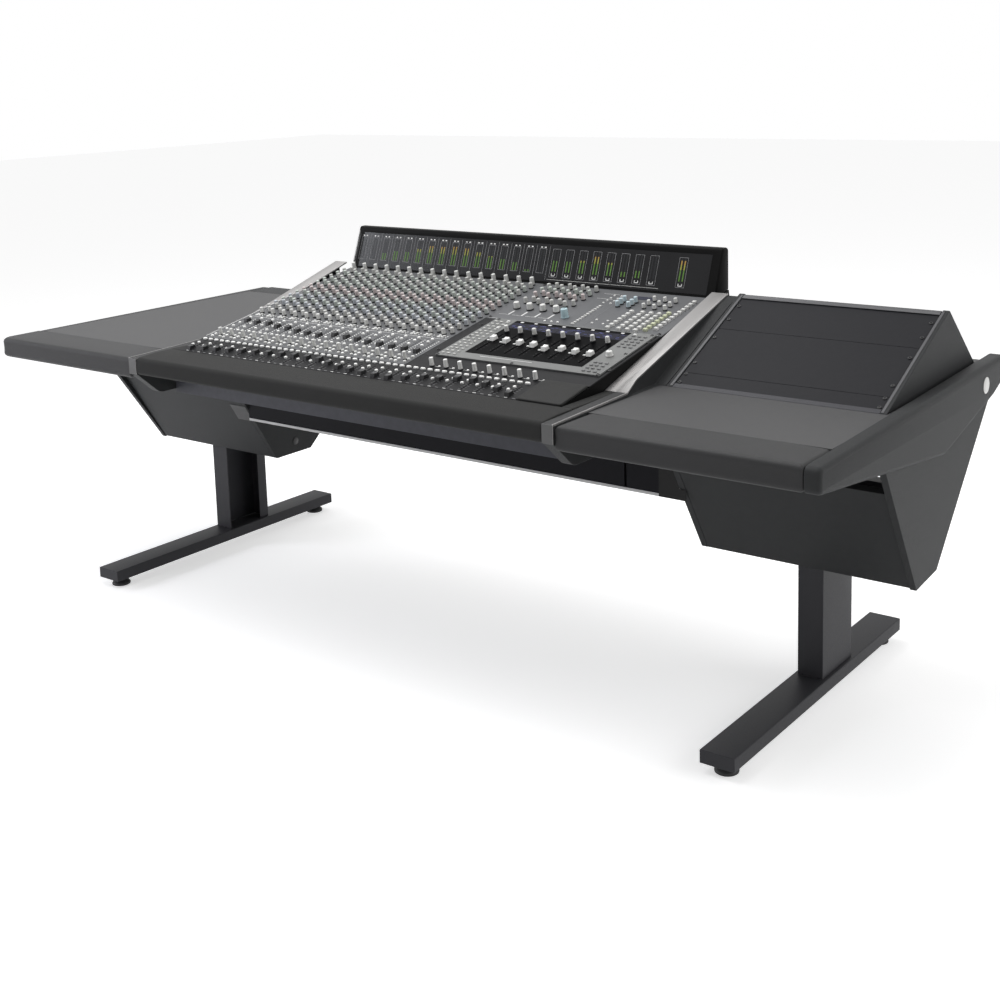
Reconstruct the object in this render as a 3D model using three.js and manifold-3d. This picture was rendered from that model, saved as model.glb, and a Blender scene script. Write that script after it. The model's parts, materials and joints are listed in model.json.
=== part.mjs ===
// Studio desk for a mixing console, with a rack turret on the right side desk.
// Millimetres, +Z up, +Y towards the rear. The origin is on the floor, in the middle of the desk.
import * as THREE from 'three';
import { mergeVertices } from 'three/addons/utils/BufferGeometryUtils.js';
import Module from 'manifold-3d';

const wasm = await Module();
wasm.setup();

// Overall size
const deskDepth = 1026;
const surfaceHeight = 722;
const seatGap = 0.3;
const cutOverrun = 6;
const weldTolerance = 0.0001;

// Foot bars, inverted steel channels
const legInset = 270;
const footBarWidth = 80;
const footBarLength = 870;
const footBarHeight = 30;
const footBarWall = 3;
const footBarUnderside = 25;
const footBarSetback = 114;
const footBarCorner = 3;
const footInset = 42;
const footBossWall = 6;
const footBossHeight = 18;
const footBossSides = 12;

// Levelling feet
const footPadRadius = 26;
const footPadEdge = 6;
const footPadHeight = 17;
const footNeckRadius = 17;
const footCollarHeight = 4;
const footStemRadius = 5;
const footStemLength = 22;
const footSides = 18;

// Leg columns, C-channels open towards the middle of the desk
const columnWidth = 61;
const columnDepth = 157;
const columnWall = 3;
const columnLip = 34;
const columnPlateMargin = 24;
const columnPlateThickness = 5;

// Side desks
const sideDeskSetback = 5;
const sideTopThickness = 25;
const bolsterDepth = 123;
const bolsterThickness = 55;
const bolsterRadius = 9;
const bolsterCornerRadius = 26;
const rearStripDepth = 98;
const sideSeam = 0.6;

// Arm boards at both ends, with a V-shaped lower edge. A drop is measured down from the side desks'
// surface, and a rise up from it.
const armWidth = 33;
const armSeam = 0.8;
const armRound = 9;
const armRoundSteps = 3;
const armFrontDrop = 54;
const armNoseDip = 3;
const armRearRise = 23;
const armNoseRadius = 14;
const armHeelRadius = 26;
const armCreaseSetback = 634;
const armCreaseDrop = 130;
const armRearLowSetback = 943;
const armRearLowDrop = 62;
const armHeelDrop = 32;

// Outer side boards of the pods, leaning in towards the bottom
const sideBoardThickness = 15;
const sideBoardInset = 9;
const sideBoardLeanWidth = 13;
const sideBoardFrontSetback = 326;
const sideBoardRearSetback = 933;
const sideBoardBottomFront = 537;
const sideBoardBottomRear = 654;
const sideBoardDrop = 407;
const sideBoardBottomRise = 10;

// Pods under the side desks
const podBottomSetback = 537;
const podBottomDrop = 404;
const podTopSetback = 386;
const podTopDrop = 156;
const podBoardThickness = 16;
const podInnerMargin = 39;
const podInnerBoardRear = 813;
const podInnerBoardHeel = 716;
const podInnerBoardHeelRise = 34;
const podInnerBoardBottomRear = 676;

// Beam that ties both legs and pods
const beamDepth = 40;
const beamHeight = 14;
const beamDrop = 251;

// Apron panel of folded sheet
const apronSetback = 436;
const apronDrop = 266;
const apronSheet = 3;
const apronLip = 24;
const apronEndLength = 147;
const apronSeamWidth = 6;

// Centre bay
const armrestWidth = 1280;
const armrestDrop = 42;
const armrestFrontRise = 4;
const armrestRadius = 8;
const armrestReturnThickness = 16;
const cheekThickness = 28;
const cheekFrontDrop = 40;
const cheekDrop = 102;
const cheekNoseLength = 73;
const cheekNoseRadius = 34;
const cheekFrontDip = 3;
const cheekBendRise = 5;
const cheekBendSetback = 283;
const cheekRearSetback = 768;
const cheekRearRise = 152;
const trimThickness = 4;
const trimBandGap = 1;
const trimBandWidth = 45;
const cheekTaperLength = 60;
const capThickness = 2;
const cheekPackingThickness = 16;
const frontRailSetback = 126;
const frontRailDrop = 111;
const frontRailHeight = 18;
const frontRailDepth = 16;

// Console, in its own inclined plane
const consoleFrontSetback = 115;
const consoleFrontRise = 8;
const consoleSlopeDegrees = 11;
const consoleLength = 681;
const consoleSideMargin = 31;
const consoleDepth = 70;
const panelThickness = 3;
const trayThickness = 18;

// Channel panel
const faderPanelLength = 95;
const stripPitch = 43.2;
const stripMargin = 11;
const knobRowPitch = 28.4;
const knobFirstRow = 288;
const knobRadius = 6.6;
const knobTopRadius = 5.2;
const knobHeight = 13;
const knobSides = 6;
const gripSides = 16;
const trimKnobRow = 122;
const trimKnobRadius = 4.6;
const trimKnobHeight = 9;
const shortFaderRow = 150;
const shortFaderTravel = 70;
const faderCapWidth = 11;
const faderCapLength = 20;
const faderCapHeight = 10;
const faderCapTaper = 2.5;
const shortFaderShares = [0.9, 0.82, 0.86, 0.7, 0.64, 0.52, 0.44, 0.4, 0.6, 0.56, 0.48, 0.36, 0.3, 0.24, 0.2,
  0.14];

// Fader panel along the front edge
const mainFaderRow = 18;
const mainFaderTravel = 46;
const buttonRow = 82;
const buttonWidth = 13;
const buttonLength = 6;
const buttonHeight = 4;
const surroundLength = 160;
const padWidth = 119;
const padLength = 110;
const padHeight = 5;
const padRadius = 3;
const padCorner = 8;
const surroundKnobRow = 107;
const surroundKnobHeight = 19;
const surroundKnobMargin = 76;
const surroundKnobPitch = 42.7;
const mainFaderShares = [0.62, 0.6, 0.55, 0.5, 0.48, 0.4, 0.42, 0.36];

// Master panel
// Places along the panel are measured from its front edge, and insets from the console's right side
const masterColumns = 4;
const masterColumnPitch = 41;
const masterColumnMargin = 43;
const masterKnobRows = [119, 164, 195, 227];
const masterWideRow = 79;
const masterWideRadius = 9;
const masterWideTopRadius = 8;
const masterWideHeight = 16;
const talkKnobInsets = [213, 181];
const talkKnobRows = [153, 171, 189];
const masterButtonWidth = 7;
const masterButtonLength = 5;
const masterButtonHeight = 3;
const masterButtonBlocks = [
  { insets: [262], first: 14, pitch: 15, count: 10 },
  { insets: [157, 126, 102, 77], first: 8, pitch: 15, count: 5 },
  { insets: [60], first: 29, pitch: 19, count: 6 },
];
const monitorKnobInset = 304;
const monitorKnobAlong = 52;
const monitorKnobRadius = 14;
const monitorKnobTopRadius = 12;
const monitorKnobHeight = 34;

// Controller with its screen
const controllerEdgeMargin = 9;
const controllerSideWidth = 65;
const controllerLeftMargin = 40;
const controllerRim = 4;
const controllerMargin = 3;
const screenWidth = 335;
const screenLength = 216;
const screenFrontMargin = 35;
const screenRearMargin = 7;
const screenThickness = 3;
const screenLedge = 6;
const screenKnobAlong = 144;
const screenKnobRadius = 7;
const screenKnobHeight = 16;
const controllerFaderCount = 8;
const faderSlotWidth = 3;
const faderSlotAlong = 19;
const faderTravel = 100;
const faderStemWidth = 2;
const faderStemLength = 9;
const faderStemRise = 5;
const faderCarriageWidth = 9;
const faderCarriageHeight = 4;
const faderRestShares = [0.66, 0.61, 0.59, 0.56, 0.43, 0.52, 0.46, 0.44];
const jogKnobInset = 47;
const jogKnobAlong = 75;
const jogKnobRadius = 13;
const jogKnobTopRadius = 11;
const jogKnobHeight = 19;
const shaftRadius = 3;
const shaftLength = 10;
const shaftCollarRadius = 6;
const shaftCollarHeight = 3;
const pocketDepth = 18;

// Meter bridge
const bridgeFaceLength = 130;
const bridgeLeanDegrees = 20.7;
const bridgeTopDepth = 28;
const bridgeEndWidth = 33;
const bridgeEndRound = 10;
const glassThickness = 2;
const glassMargin = 9;

// Rack turret
const turretSideThickness = 15;
const turretCheekGap = 1;
const turretArmGap = 13;
const turretFrontSetback = 418;
const turretFaceDegrees = 24.4;
const turretRearSetback = 951;
const turretApexRadius = 6;
const rackUnitHeight = 44.45;
const rackPanelWidth = 482.6;
const rackPanelClearance = 0.8;
const rackPanelSideGap = 0.7;
const rackPanelThickness = 3;
const rackPanelRecess = 2;
const rackUnitCounts = [1, 4, 3];
const rackBorder = 15.2;
const rackRailWidth = 20;
const rackRailDepth = 26;
const rackRailSheet = 2;
const turretBackThickness = 12;
const turretBackSlot = 60;

// Places that follow from the sizes
const frontY = -deskDepth / 2;
const rearY = deskDepth / 2;
const bayHalfWidth = armrestWidth / 2 + cheekThickness;
const turretLeft = bayHalfWidth + cheekPackingThickness + turretCheekGap;
const turretWidth = rackPanelWidth + 2 * (turretSideThickness + rackPanelSideGap);
const halfWidth = turretLeft + turretWidth + turretArmGap + armWidth;
const armFrontBottom = surfaceHeight - armFrontDrop;
const armCreaseHeight = surfaceHeight - armCreaseDrop;
const armRearLowHeight = surfaceHeight - armRearLowDrop;
const armHeelHeight = surfaceHeight - armHeelDrop;
const sideBoardBottomHeight = surfaceHeight - sideBoardDrop;
const podBottomHeight = surfaceHeight - podBottomDrop;
const podTopHeight = surfaceHeight - podTopDrop;
const beamUnderside = surfaceHeight - beamDrop;
const apronBottom = surfaceHeight - apronDrop;
const armrestBottom = surfaceHeight - armrestDrop;
const armrestFrontTop = surfaceHeight + armrestFrontRise;
const cheekFrontBottom = surfaceHeight - cheekFrontDrop;
const cheekBottom = surfaceHeight - cheekDrop;
const cheekFrontHeight = surfaceHeight - cheekFrontDip;
const cheekBendHeight = surfaceHeight + cheekBendRise;
const cheekRearHeight = surfaceHeight + cheekRearRise;
const frontRailBottom = surfaceHeight - frontRailDrop;
const consoleFrontHeight = surfaceHeight + consoleFrontRise;
const legX = halfWidth - legInset;
const podInnerFace = bayHalfWidth + podInnerMargin;
const apronSeamX = podInnerFace - apronEndLength;
const sideFrontY = frontY + sideDeskSetback;
const bolsterRearY = sideFrontY + bolsterDepth;
const sideUnderside = surfaceHeight - sideTopThickness;
const sideInnerX = bayHalfWidth + sideSeam;
const sideOuterX = halfWidth - armWidth - armSeam;
const consoleSlope = THREE.MathUtils.degToRad(consoleSlopeDegrees);
const consoleFrontY = frontY + consoleFrontSetback;
const consoleHalfWidth = armrestWidth / 2 - consoleSideMargin;
const controllerRight = consoleHalfWidth - controllerEdgeMargin;
const screenRight = controllerRight - controllerSideWidth;
const screenLeft = screenRight - screenWidth;
const controllerLeft = screenLeft - controllerSideWidth;
const channelPanelRight = controllerLeft - controllerLeftMargin;
const padLeft = consoleHalfWidth - padWidth;
const monitorKnobX = consoleHalfWidth - monitorKnobInset;
const jogKnobX = consoleHalfWidth - jogKnobInset;
const trimBandInner = consoleHalfWidth + trimBandGap;
const trimBandOuter = trimBandInner + trimBandWidth;
const screenStart = surroundLength + screenFrontMargin;
const screenEnd = screenStart + screenLength;
const screenKnobRow = screenStart + screenKnobAlong;
const faderSlotStart = screenStart + faderSlotAlong;
const jogKnobRow = screenStart + jogKnobAlong;
const masterStart = screenEnd + screenRearMargin;
const monitorKnobRow = masterStart + monitorKnobAlong;
const knobRows = Math.floor((consoleLength - knobFirstRow) / knobRowPitch) + 1;
const surroundKnobRun = padLeft - channelPanelRight - surroundKnobMargin;
const surroundKnobCount = Math.floor(surroundKnobRun / surroundKnobPitch) + 1;
const stripCount = Math.floor((channelPanelRight + consoleHalfWidth - stripMargin) / stripPitch);
const mainFaderCount = Math.floor((padLeft + consoleHalfWidth - stripMargin) / stripPitch);
const podRise = new THREE.Vector2(podTopSetback - podBottomSetback, podTopHeight - podBottomHeight);
podRise.normalize();
const columnFrontY = frontY + podBottomSetback + podBoardThickness * podRise.y + seatGap;
const columnRearY = columnFrontY + columnDepth;
const pairSides = [['left', -1], ['right', 1]];

// Corners [u, v, radius] to an outline, with an arc in each corner that has a radius
function rounded(corners, steps = 5) {
  const points = [];
  corners.forEach(([u, v, radius = 0], i) => {
    const here = new THREE.Vector2(u, v);
    if (radius === 0) {
      points.push(here);
      return;
    }
    const back = new THREE.Vector2(...corners.at(i - 1).slice(0, 2)).sub(here);
    const ahead = new THREE.Vector2(...corners[(i + 1) % corners.length].slice(0, 2)).sub(here);
    const room = Math.min(back.length(), ahead.length()) / 2;
    back.normalize();
    ahead.normalize();
    const half = Math.acos(THREE.MathUtils.clamp(back.dot(ahead), -1, 1)) / 2;
    const reach = Math.min(radius / Math.tan(half), room);
    const arc = reach * Math.tan(half);
    const centre = back.clone().add(ahead).normalize().multiplyScalar(arc / Math.sin(half)).add(here);
    const from = back.clone().multiplyScalar(reach).add(here).sub(centre).angle();
    const to = ahead.clone().multiplyScalar(reach).add(here).sub(centre).angle();
    let sweep = to - from;
    if (sweep > Math.PI) sweep -= 2 * Math.PI;
    if (sweep < -Math.PI) sweep += 2 * Math.PI;
    for (let k = 0; k <= steps; k += 1) {
      const angle = from + sweep * k / steps;
      points.push(new THREE.Vector2(centre.x + arc * Math.cos(angle), centre.y + arc * Math.sin(angle)));
    }
  });
  return points;
}

// Outline carried along Z, with an optional rounded rim
function alongZ(corners, z0, z1, rim = 0, rimSteps = 1) {
  const settings = { depth: z1 - z0 - 2 * rim, bevelEnabled: rim > 0, bevelSegments: rimSteps };
  settings.bevelSize = rim;
  settings.bevelThickness = rim;
  settings.bevelOffset = -rim;
  const geometry = new THREE.ExtrudeGeometry(new THREE.Shape(rounded(corners)), settings);
  return geometry.translate(0, 0, z0 + rim);
}

// Outline in Y and Z carried along X
function alongX(corners, x0, x1, rim = 0, rimSteps = 1) {
  const turn = new THREE.Matrix4().makeBasis(
    new THREE.Vector3(0, 1, 0), new THREE.Vector3(0, 0, 1), new THREE.Vector3(1, 0, 0));
  return alongZ(corners, x0, x1, rim, rimSteps).applyMatrix4(turn);
}

// Outline in X and Z carried along Y
function alongY(corners, y0, y1) {
  const turn = new THREE.Matrix4().makeBasis(
    new THREE.Vector3(1, 0, 0), new THREE.Vector3(0, 0, 1), new THREE.Vector3(0, -1, 0));
  return alongZ(corners, -y1, -y0).applyMatrix4(turn);
}

function block(x0, x1, y0, y1, z0, z1) {
  const geometry = new THREE.BoxGeometry(x1 - x0, y1 - y0, z1 - z0);
  return geometry.translate((x0 + x1) / 2, (y0 + y1) / 2, (z0 + z1) / 2);
}

// Upright cylinder or cone frustum standing on z0
function post(x, y, z0, z1, bottomRadius, topRadius = bottomRadius, sides = footSides) {
  const geometry = new THREE.CylinderGeometry(topRadius, bottomRadius, z1 - z0, sides);
  return geometry.rotateX(Math.PI / 2).translate(x, y, (z0 + z1) / 2);
}

// Closed geometry to a solid: shared vertices merged, empty triangles left out
function solid(geometry) {
  const bare = geometry.clone();
  bare.deleteAttribute('normal');
  bare.deleteAttribute('uv');
  const welded = mergeVertices(bare, weldTolerance);
  const index = welded.index.array;
  const kept = [];
  for (let i = 0; i < index.length; i += 3) {
    const [a, b, c] = [index[i], index[i + 1], index[i + 2]];
    if (a !== b && b !== c && c !== a) kept.push(a, b, c);
  }
  const vertProperties = new Float32Array(welded.attributes.position.array);
  return new wasm.Manifold(new wasm.Mesh({ numProp: 3, vertProperties, triVerts: new Uint32Array(kept) }));
}

function geometryOf(body) {
  const mesh = body.getMesh();
  const geometry = new THREE.BufferGeometry();
  geometry.setAttribute('position', new THREE.BufferAttribute(new Float32Array(mesh.vertProperties), 3));
  geometry.setIndex(new THREE.BufferAttribute(new Uint32Array(mesh.triVerts), 1));
  return geometry;
}

function join(...geometries) {
  return geometryOf(geometries.map(solid).reduce((whole, piece) => whole.add(piece)));
}

function cut(geometry, ...tools) {
  return geometryOf(tools.map(solid).reduce((whole, tool) => whole.subtract(tool), solid(geometry)));
}

function common(geometry, other) {
  return geometryOf(solid(geometry).intersect(solid(other)));
}

// Mirror image across the middle of the desk, with the faces turned right again
function mirrored(geometry) {
  const body = geometryOf(solid(geometry));
  body.scale(-1, 1, 1);
  const index = body.index.array;
  for (let i = 0; i < index.length; i += 3) {
    [index[i], index[i + 1]] = [index[i + 1], index[i]];
  }
  return body;
}

function forSide(geometry, side) {
  return side < 0 ? mirrored(geometry) : geometry;
}

// Finishes
const finishes = {
  steel: { color: 0x2b2c2e, roughness: 0.55, metalness: 0.4 },
  board: { color: 0x3a3b3c, roughness: 0.6, metalness: 0 },
  laminate: { color: 0x4a4a4b, roughness: 0.55, metalness: 0 },
  leather: { color: 0x2e2e2f, roughness: 0.65, metalness: 0 },
  silver: { color: 0xb9babc, roughness: 0.35, metalness: 0.9 },
  rail: { color: 0x6a6d74, roughness: 0.5, metalness: 0.3 },
  panelGrey: { color: 0x8f9294, roughness: 0.5, metalness: 0.3 },
  panelDark: { color: 0x232425, roughness: 0.5, metalness: 0.2 },
  rackPanel: { color: 0x303134, roughness: 0.45, metalness: 0.3 },
  cap: { color: 0xe8e8e6, roughness: 0.4, metalness: 0 },
  blueKnob: { color: 0xb4cdd3, roughness: 0.4, metalness: 0 },
  screen: { color: 0x0c0d12, roughness: 0.15, metalness: 0 },
  rubber: { color: 0x1d1d1e, roughness: 0.8, metalness: 0 },
};

function part(parent, name, finish, geometry) {
  const shown = geometry.index ? geometry.toNonIndexed() : geometry;
  shown.computeVertexNormals();
  const mesh = new THREE.Mesh(shown, new THREE.MeshStandardMaterial(finishes[finish]));
  mesh.name = name;
  parent.add(mesh);
  return mesh;
}

const desk = new THREE.Group();

// Foot bar: channel with closed ends and a threaded boss at each end, about its own middle
function footBarShape() {
  const half = footBarWidth / 2;
  const end = footBarLength / 2;
  const shell = alongY([
    [-half, 0], [half, 0], [half, footBarHeight, footBarCorner], [-half, footBarHeight, footBarCorner],
  ], -end, end);
  const web = footBarHeight - footBarWall;
  const inside = half - footBarWall;
  const reach = end - footBarWall;
  const hollow = block(-inside, inside, -reach, reach, -cutOverrun, web);
  const stemTop = footPadHeight + footCollarHeight + footStemLength - footBarUnderside;
  const bossTop = footBarHeight - footBarWall / 2;
  const bossRadius = footStemRadius + footBossWall;
  const pieces = [-1, 1].map((sign) => post(0, sign * (end - footInset), bossTop - footBossHeight, bossTop,
    bossRadius, bossRadius, footBossSides));
  const bores = [-1, 1].map((sign) => post(0, sign * (end - footInset), -cutOverrun, stemTop + seatGap,
    footStemRadius + seatGap));
  return cut(join(cut(shell, hollow), ...pieces), ...bores);
}

// Levelling foot: turned pad with a rounded edge, a neck, a collar and its stem
function footShape() {
  const collarTop = footPadHeight + footCollarHeight;
  const profile = [
    [0, 0], [footPadRadius - footPadEdge / 3, 0], [footPadRadius, footPadEdge / 3],
    [footPadRadius, footPadEdge],
    [footNeckRadius, footPadHeight], [footNeckRadius, collarTop], [footStemRadius, collarTop],
    [footStemRadius, collarTop + footStemLength], [0, collarTop + footStemLength],
  ].map(([r, z]) => new THREE.Vector2(r, z));
  return new THREE.LatheGeometry(profile, footSides).rotateX(Math.PI / 2);
}

// Column: C-channel with its opening towards the middle, and a plate on top
function columnShape(bottom, top) {
  const inner = -columnWidth / 2;
  const outer = columnWidth / 2;
  const channel = alongZ([
    [inner, 0], [outer, 0], [outer, columnDepth], [inner, columnDepth],
    [inner, columnDepth - columnLip], [inner + columnWall, columnDepth - columnLip],
    [inner + columnWall, columnDepth - columnWall], [outer - columnWall, columnDepth - columnWall],
    [outer - columnWall, columnWall], [inner, columnWall],
  ], bottom, top - columnPlateThickness / 2);
  const plate = block(inner - columnPlateMargin, outer + columnPlateMargin, 0, columnDepth,
    top - columnPlateThickness, top);
  return join(channel, plate);
}

pairSides.forEach(([word, side]) => {
  const leg = new THREE.Group();
  leg.position.set(side * legX, 0, 0);
  desk.add(leg);
  const barMiddle = frontY + footBarSetback + footBarLength / 2;
  part(leg, `foot_bar_${word}`, 'steel', footBarShape()).position.set(0, barMiddle, footBarUnderside);
  [['front', -1], ['rear', 1]].forEach(([end, sign]) => {
    const foot = part(leg, `levelling_foot_${end}_${word}`, 'rubber', footShape());
    foot.position.set(0, barMiddle + sign * (footBarLength / 2 - footInset), 0);
  });
  const barTop = footBarUnderside + footBarHeight;
  const column = forSide(columnShape(barTop + seatGap, sideUnderside - seatGap), side);
  part(leg, `leg_column_${word}`, 'steel', column).position.set(0, columnFrontY, 0);
});

// Lower edge of the arm boards, from the front to the rear
const armLowerEdge = [
  [sideFrontY, armFrontBottom], [frontY + armCreaseSetback, armCreaseHeight],
  [frontY + armRearLowSetback, armRearLowHeight],
];

function heightOnEdge(edge, y) {
  const at = y < edge[1][0] ? 0 : 1;
  const [[y0, z0], [y1, z1]] = [edge[at], edge[at + 1]];
  return z0 + (z1 - z0) * (y - y0) / (y1 - y0);
}

// Arm board: only its outer side is rounded over, so the inner half of a thicker one is cut off
function armShape(rise, startY) {
  const [low, crease, heel] = armLowerEdge;
  const outline = [
    [sideFrontY, surfaceHeight - armNoseDip, armNoseRadius], [low[0], low[1], armNoseRadius], crease, heel,
    [rearY, armHeelHeight, armNoseRadius], [rearY, surfaceHeight + rise, armHeelRadius],
  ];
  const inner = halfWidth - armWidth;
  const thick = alongX(outline, inner - armWidth, halfWidth, armRound, armRoundSteps);
  return common(thick, block(inner, halfWidth + cutOverrun, startY, rearY + cutOverrun,
    0, surfaceHeight + rise + cutOverrun));
}

// The left arm starts behind the bolster, and the right one runs to the front
part(desk, 'arm_left', 'board', mirrored(armShape(0, bolsterRearY + seatGap)));
part(desk, 'arm_right', 'board', armShape(armRearRise, sideFrontY - cutOverrun));

// Side board leans in: its X falls off below the crease with the height
const sideBoardTop = heightOnEdge(armLowerEdge, frontY + sideBoardFrontSetback);
const leanPerHeight = sideBoardLeanWidth / (sideBoardTop - sideBoardBottomHeight);

function leaned(geometry) {
  const shear = new THREE.Matrix4().set(
    1, 0, leanPerHeight, -leanPerHeight * sideBoardTop,
    0, 1, 0, 0,
    0, 0, 1, 0,
    0, 0, 0, 1);
  return geometry.applyMatrix4(shear);
}

const sideBoardOuter = halfWidth - sideBoardInset;
const sideBoardInner = sideBoardOuter - sideBoardThickness;

function sideBoardShape() {
  const frontTop = frontY + sideBoardFrontSetback;
  const rearTop = frontY + sideBoardRearSetback;
  const outline = [
    [frontTop, sideBoardTop - seatGap],
    [frontY + sideBoardBottomFront, sideBoardBottomHeight],
    [frontY + sideBoardBottomRear, sideBoardBottomHeight + sideBoardBottomRise],
    [rearTop, heightOnEdge(armLowerEdge, rearTop) - seatGap],
    [frontY + armCreaseSetback, armCreaseHeight - seatGap],
  ];
  return leaned(alongX(outline, sideBoardInner, sideBoardOuter));
}

// Front board of a pod: leans forward, and its outer end follows the side board
function podFrontShape() {
  const foot = new THREE.Vector2(frontY + podBottomSetback, podBottomHeight);
  const head = new THREE.Vector2(frontY + podTopSetback, podTopHeight);
  const through = new THREE.Vector2(podRise.y, -podRise.x).multiplyScalar(podBoardThickness);
  const outline = [foot, foot.clone().add(through), head.clone().add(through), head];
  const inner = podInnerFace + podBoardThickness + seatGap;
  const long = alongX(outline.map((p) => [p.x, p.y]), inner, halfWidth);
  const outside = leaned(block(sideBoardInner - seatGap, halfWidth + sideBoardLeanWidth, frontY, rearY,
    0, surfaceHeight));
  return cut(long, outside);
}

// Inner board of a pod: carries the side desk, with a notch that the beam passes through
function podInnerShape() {
  const outline = [
    [frontY + podBottomSetback, podBottomHeight], [frontY + podInnerBoardBottomRear, podBottomHeight],
    [frontY + podInnerBoardHeel, podBottomHeight + podInnerBoardHeelRise],
    [frontY + podInnerBoardRear, sideUnderside - seatGap], [frontY + podTopSetback, sideUnderside - seatGap],
    [frontY + podTopSetback, podTopHeight],
  ];
  const board = alongX(outline, podInnerFace, podInnerFace + podBoardThickness);
  const notch = block(podInnerFace - cutOverrun, podInnerFace + podBoardThickness + cutOverrun,
    columnRearY, columnRearY + beamDepth + 2 * seatGap,
    beamUnderside - seatGap, beamUnderside + beamHeight + seatGap);
  return cut(board, notch);
}

pairSides.forEach(([word, side]) => {
  part(desk, `side_panel_${word}`, 'board', forSide(sideBoardShape(), side));
  part(desk, `pod_front_${word}`, 'board', forSide(podFrontShape(), side));
  part(desk, `pod_inner_side_${word}`, 'board', forSide(podInnerShape(), side));
});

// Beam behind the columns, through both inner boards
const beamEnd = sideBoardInner - leanPerHeight * (sideBoardTop - beamUnderside) - seatGap;
part(desk, 'rear_crossbeam', 'steel', block(-beamEnd, beamEnd, columnRearY + seatGap,
  columnRearY + seatGap + beamDepth, beamUnderside, beamUnderside + beamHeight));

// Apron: folded sheet with a lip along its lower edge, in two lengths, up to the cheek boards
function apronShape(x0, x1) {
  const y = frontY + apronSetback;
  const apronTop = cheekBottom - seatGap;
  return alongX([
    [y, apronBottom], [y + apronLip, apronBottom], [y + apronLip, apronBottom + apronSheet],
    [y + apronSheet, apronBottom + apronSheet], [y + apronSheet, apronTop], [y, apronTop],
  ], x0, x1);
}

part(desk, 'apron_panel', 'steel', apronShape(-podInnerFace + seatGap, apronSeamX));
part(desk, 'apron_end', 'steel', apronShape(apronSeamX + apronSeamWidth, podInnerFace - seatGap));

// Side desks: top board, bolster along the front and, on the left, a strip along the rear
function bolsterShape(side) {
  const bottom = surfaceHeight - bolsterThickness;
  const outer = side < 0 ? halfWidth : halfWidth + bolsterCornerRadius;
  const cushion = alongZ([
    [sideInnerX - bolsterDepth, sideFrontY], [outer, sideFrontY, bolsterCornerRadius],
    [outer, bolsterRearY + bolsterDepth], [sideInnerX - bolsterDepth, bolsterRearY + bolsterDepth],
  ], bottom, surfaceHeight, bolsterRadius, armRoundSteps);
  const room = block(sideInnerX, side < 0 ? outer + cutOverrun : sideOuterX, sideFrontY - cutOverrun,
    bolsterRearY, bottom - cutOverrun, surfaceHeight + cutOverrun);
  return forSide(common(cushion, room), side);
}

pairSides.forEach(([word, side]) => {
  const y0 = bolsterRearY + seatGap;
  const y1 = side < 0 ? rearY - rearStripDepth : rearY;
  const top = block(sideInnerX, sideOuterX, y0, y1, sideUnderside, surfaceHeight);
  part(desk, `bolster_${word}`, 'leather', bolsterShape(side));
  part(desk, `side_top_${word}`, 'laminate', forSide(top, side));
});
part(desk, 'rear_strip_left', 'board', mirrored(block(sideInnerX, sideOuterX,
  rearY - rearStripDepth + sideSeam, rearY, sideUnderside, surfaceHeight)));

// Centre bay: armrest, cheek boards with their metal trims, and the rail below
function consoleUnderside(y, depth) {
  return consoleFrontHeight + (y - consoleFrontY) * Math.tan(consoleSlope) - depth / Math.cos(consoleSlope);
}

const cheekBendY = frontY + cheekBendSetback;
const cheekRearY = frontY + cheekRearSetback;

// Armrest: carried along X, with a return on each side of the console up to the bend of the cheek
function armrestShape() {
  const end = armrestWidth / 2 - seatGap;
  const edgeY = consoleFrontY - seatGap * 2;
  const cushion = alongX([
    [frontY, armrestBottom, armrestRadius],
    [edgeY + (consoleFrontHeight - armrestBottom) * Math.tan(consoleSlope), armrestBottom],
    [edgeY, consoleFrontHeight], [frontY, armrestFrontTop, armrestRadius],
  ], -end, end);
  const returns = [-1, 1].map((side) => forSide(block(consoleHalfWidth + seatGap, end,
    edgeY - seatGap, cheekBendY - seatGap, consoleFrontHeight - armrestReturnThickness,
    consoleFrontHeight), side));
  return join(cushion, ...returns);
}

// Room on the outer side of a cheek's rising half, which is set back over a slanted length
function setBack(bottom) {
  return alongZ([
    [bayHalfWidth, cheekBendY], [bayHalfWidth + cutOverrun, cheekBendY],
    [bayHalfWidth + cutOverrun, rearY], [trimBandOuter, rearY],
    [trimBandOuter, cheekBendY + cheekTaperLength],
  ], bottom, consoleFrontHeight + consoleLength);
}

function cheekShape(side) {
  const inner = armrestWidth / 2;
  const outline = [
    [frontY + capThickness + seatGap, cheekFrontHeight],
    [frontY + capThickness + seatGap, cheekFrontBottom],
    [frontY + cheekNoseLength, cheekBottom, cheekNoseRadius], [cheekRearY, cheekBottom],
    [cheekRearY, cheekRearHeight], [cheekBendY, cheekBendHeight],
  ];
  const floor = surfaceHeight + seatGap;
  const board = cut(alongX(outline, inner, bayHalfWidth), setBack(floor));
  if (side < 0) return mirrored(board);
  // Packing up to the turret: its top follows the turret's face, and then the cheek's own edge
  const startY = frontY + turretFrontSetback;
  const cheekRun = (cheekRearHeight - cheekBendHeight) / (cheekRearY - cheekBendY);
  const turretRun = Math.tan(THREE.MathUtils.degToRad(turretFaceDegrees));
  const meetY = (cheekBendHeight - floor + turretRun * startY - cheekRun * cheekBendY)
    / (turretRun - cheekRun);
  const packing = alongX([
    [startY, floor], [cheekRearY, floor], [cheekRearY, cheekRearHeight],
    [meetY, floor + turretRun * (meetY - startY)],
  ], trimBandOuter - cutOverrun, bayHalfWidth + cheekPackingThickness);
  return join(board, packing);
}

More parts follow.
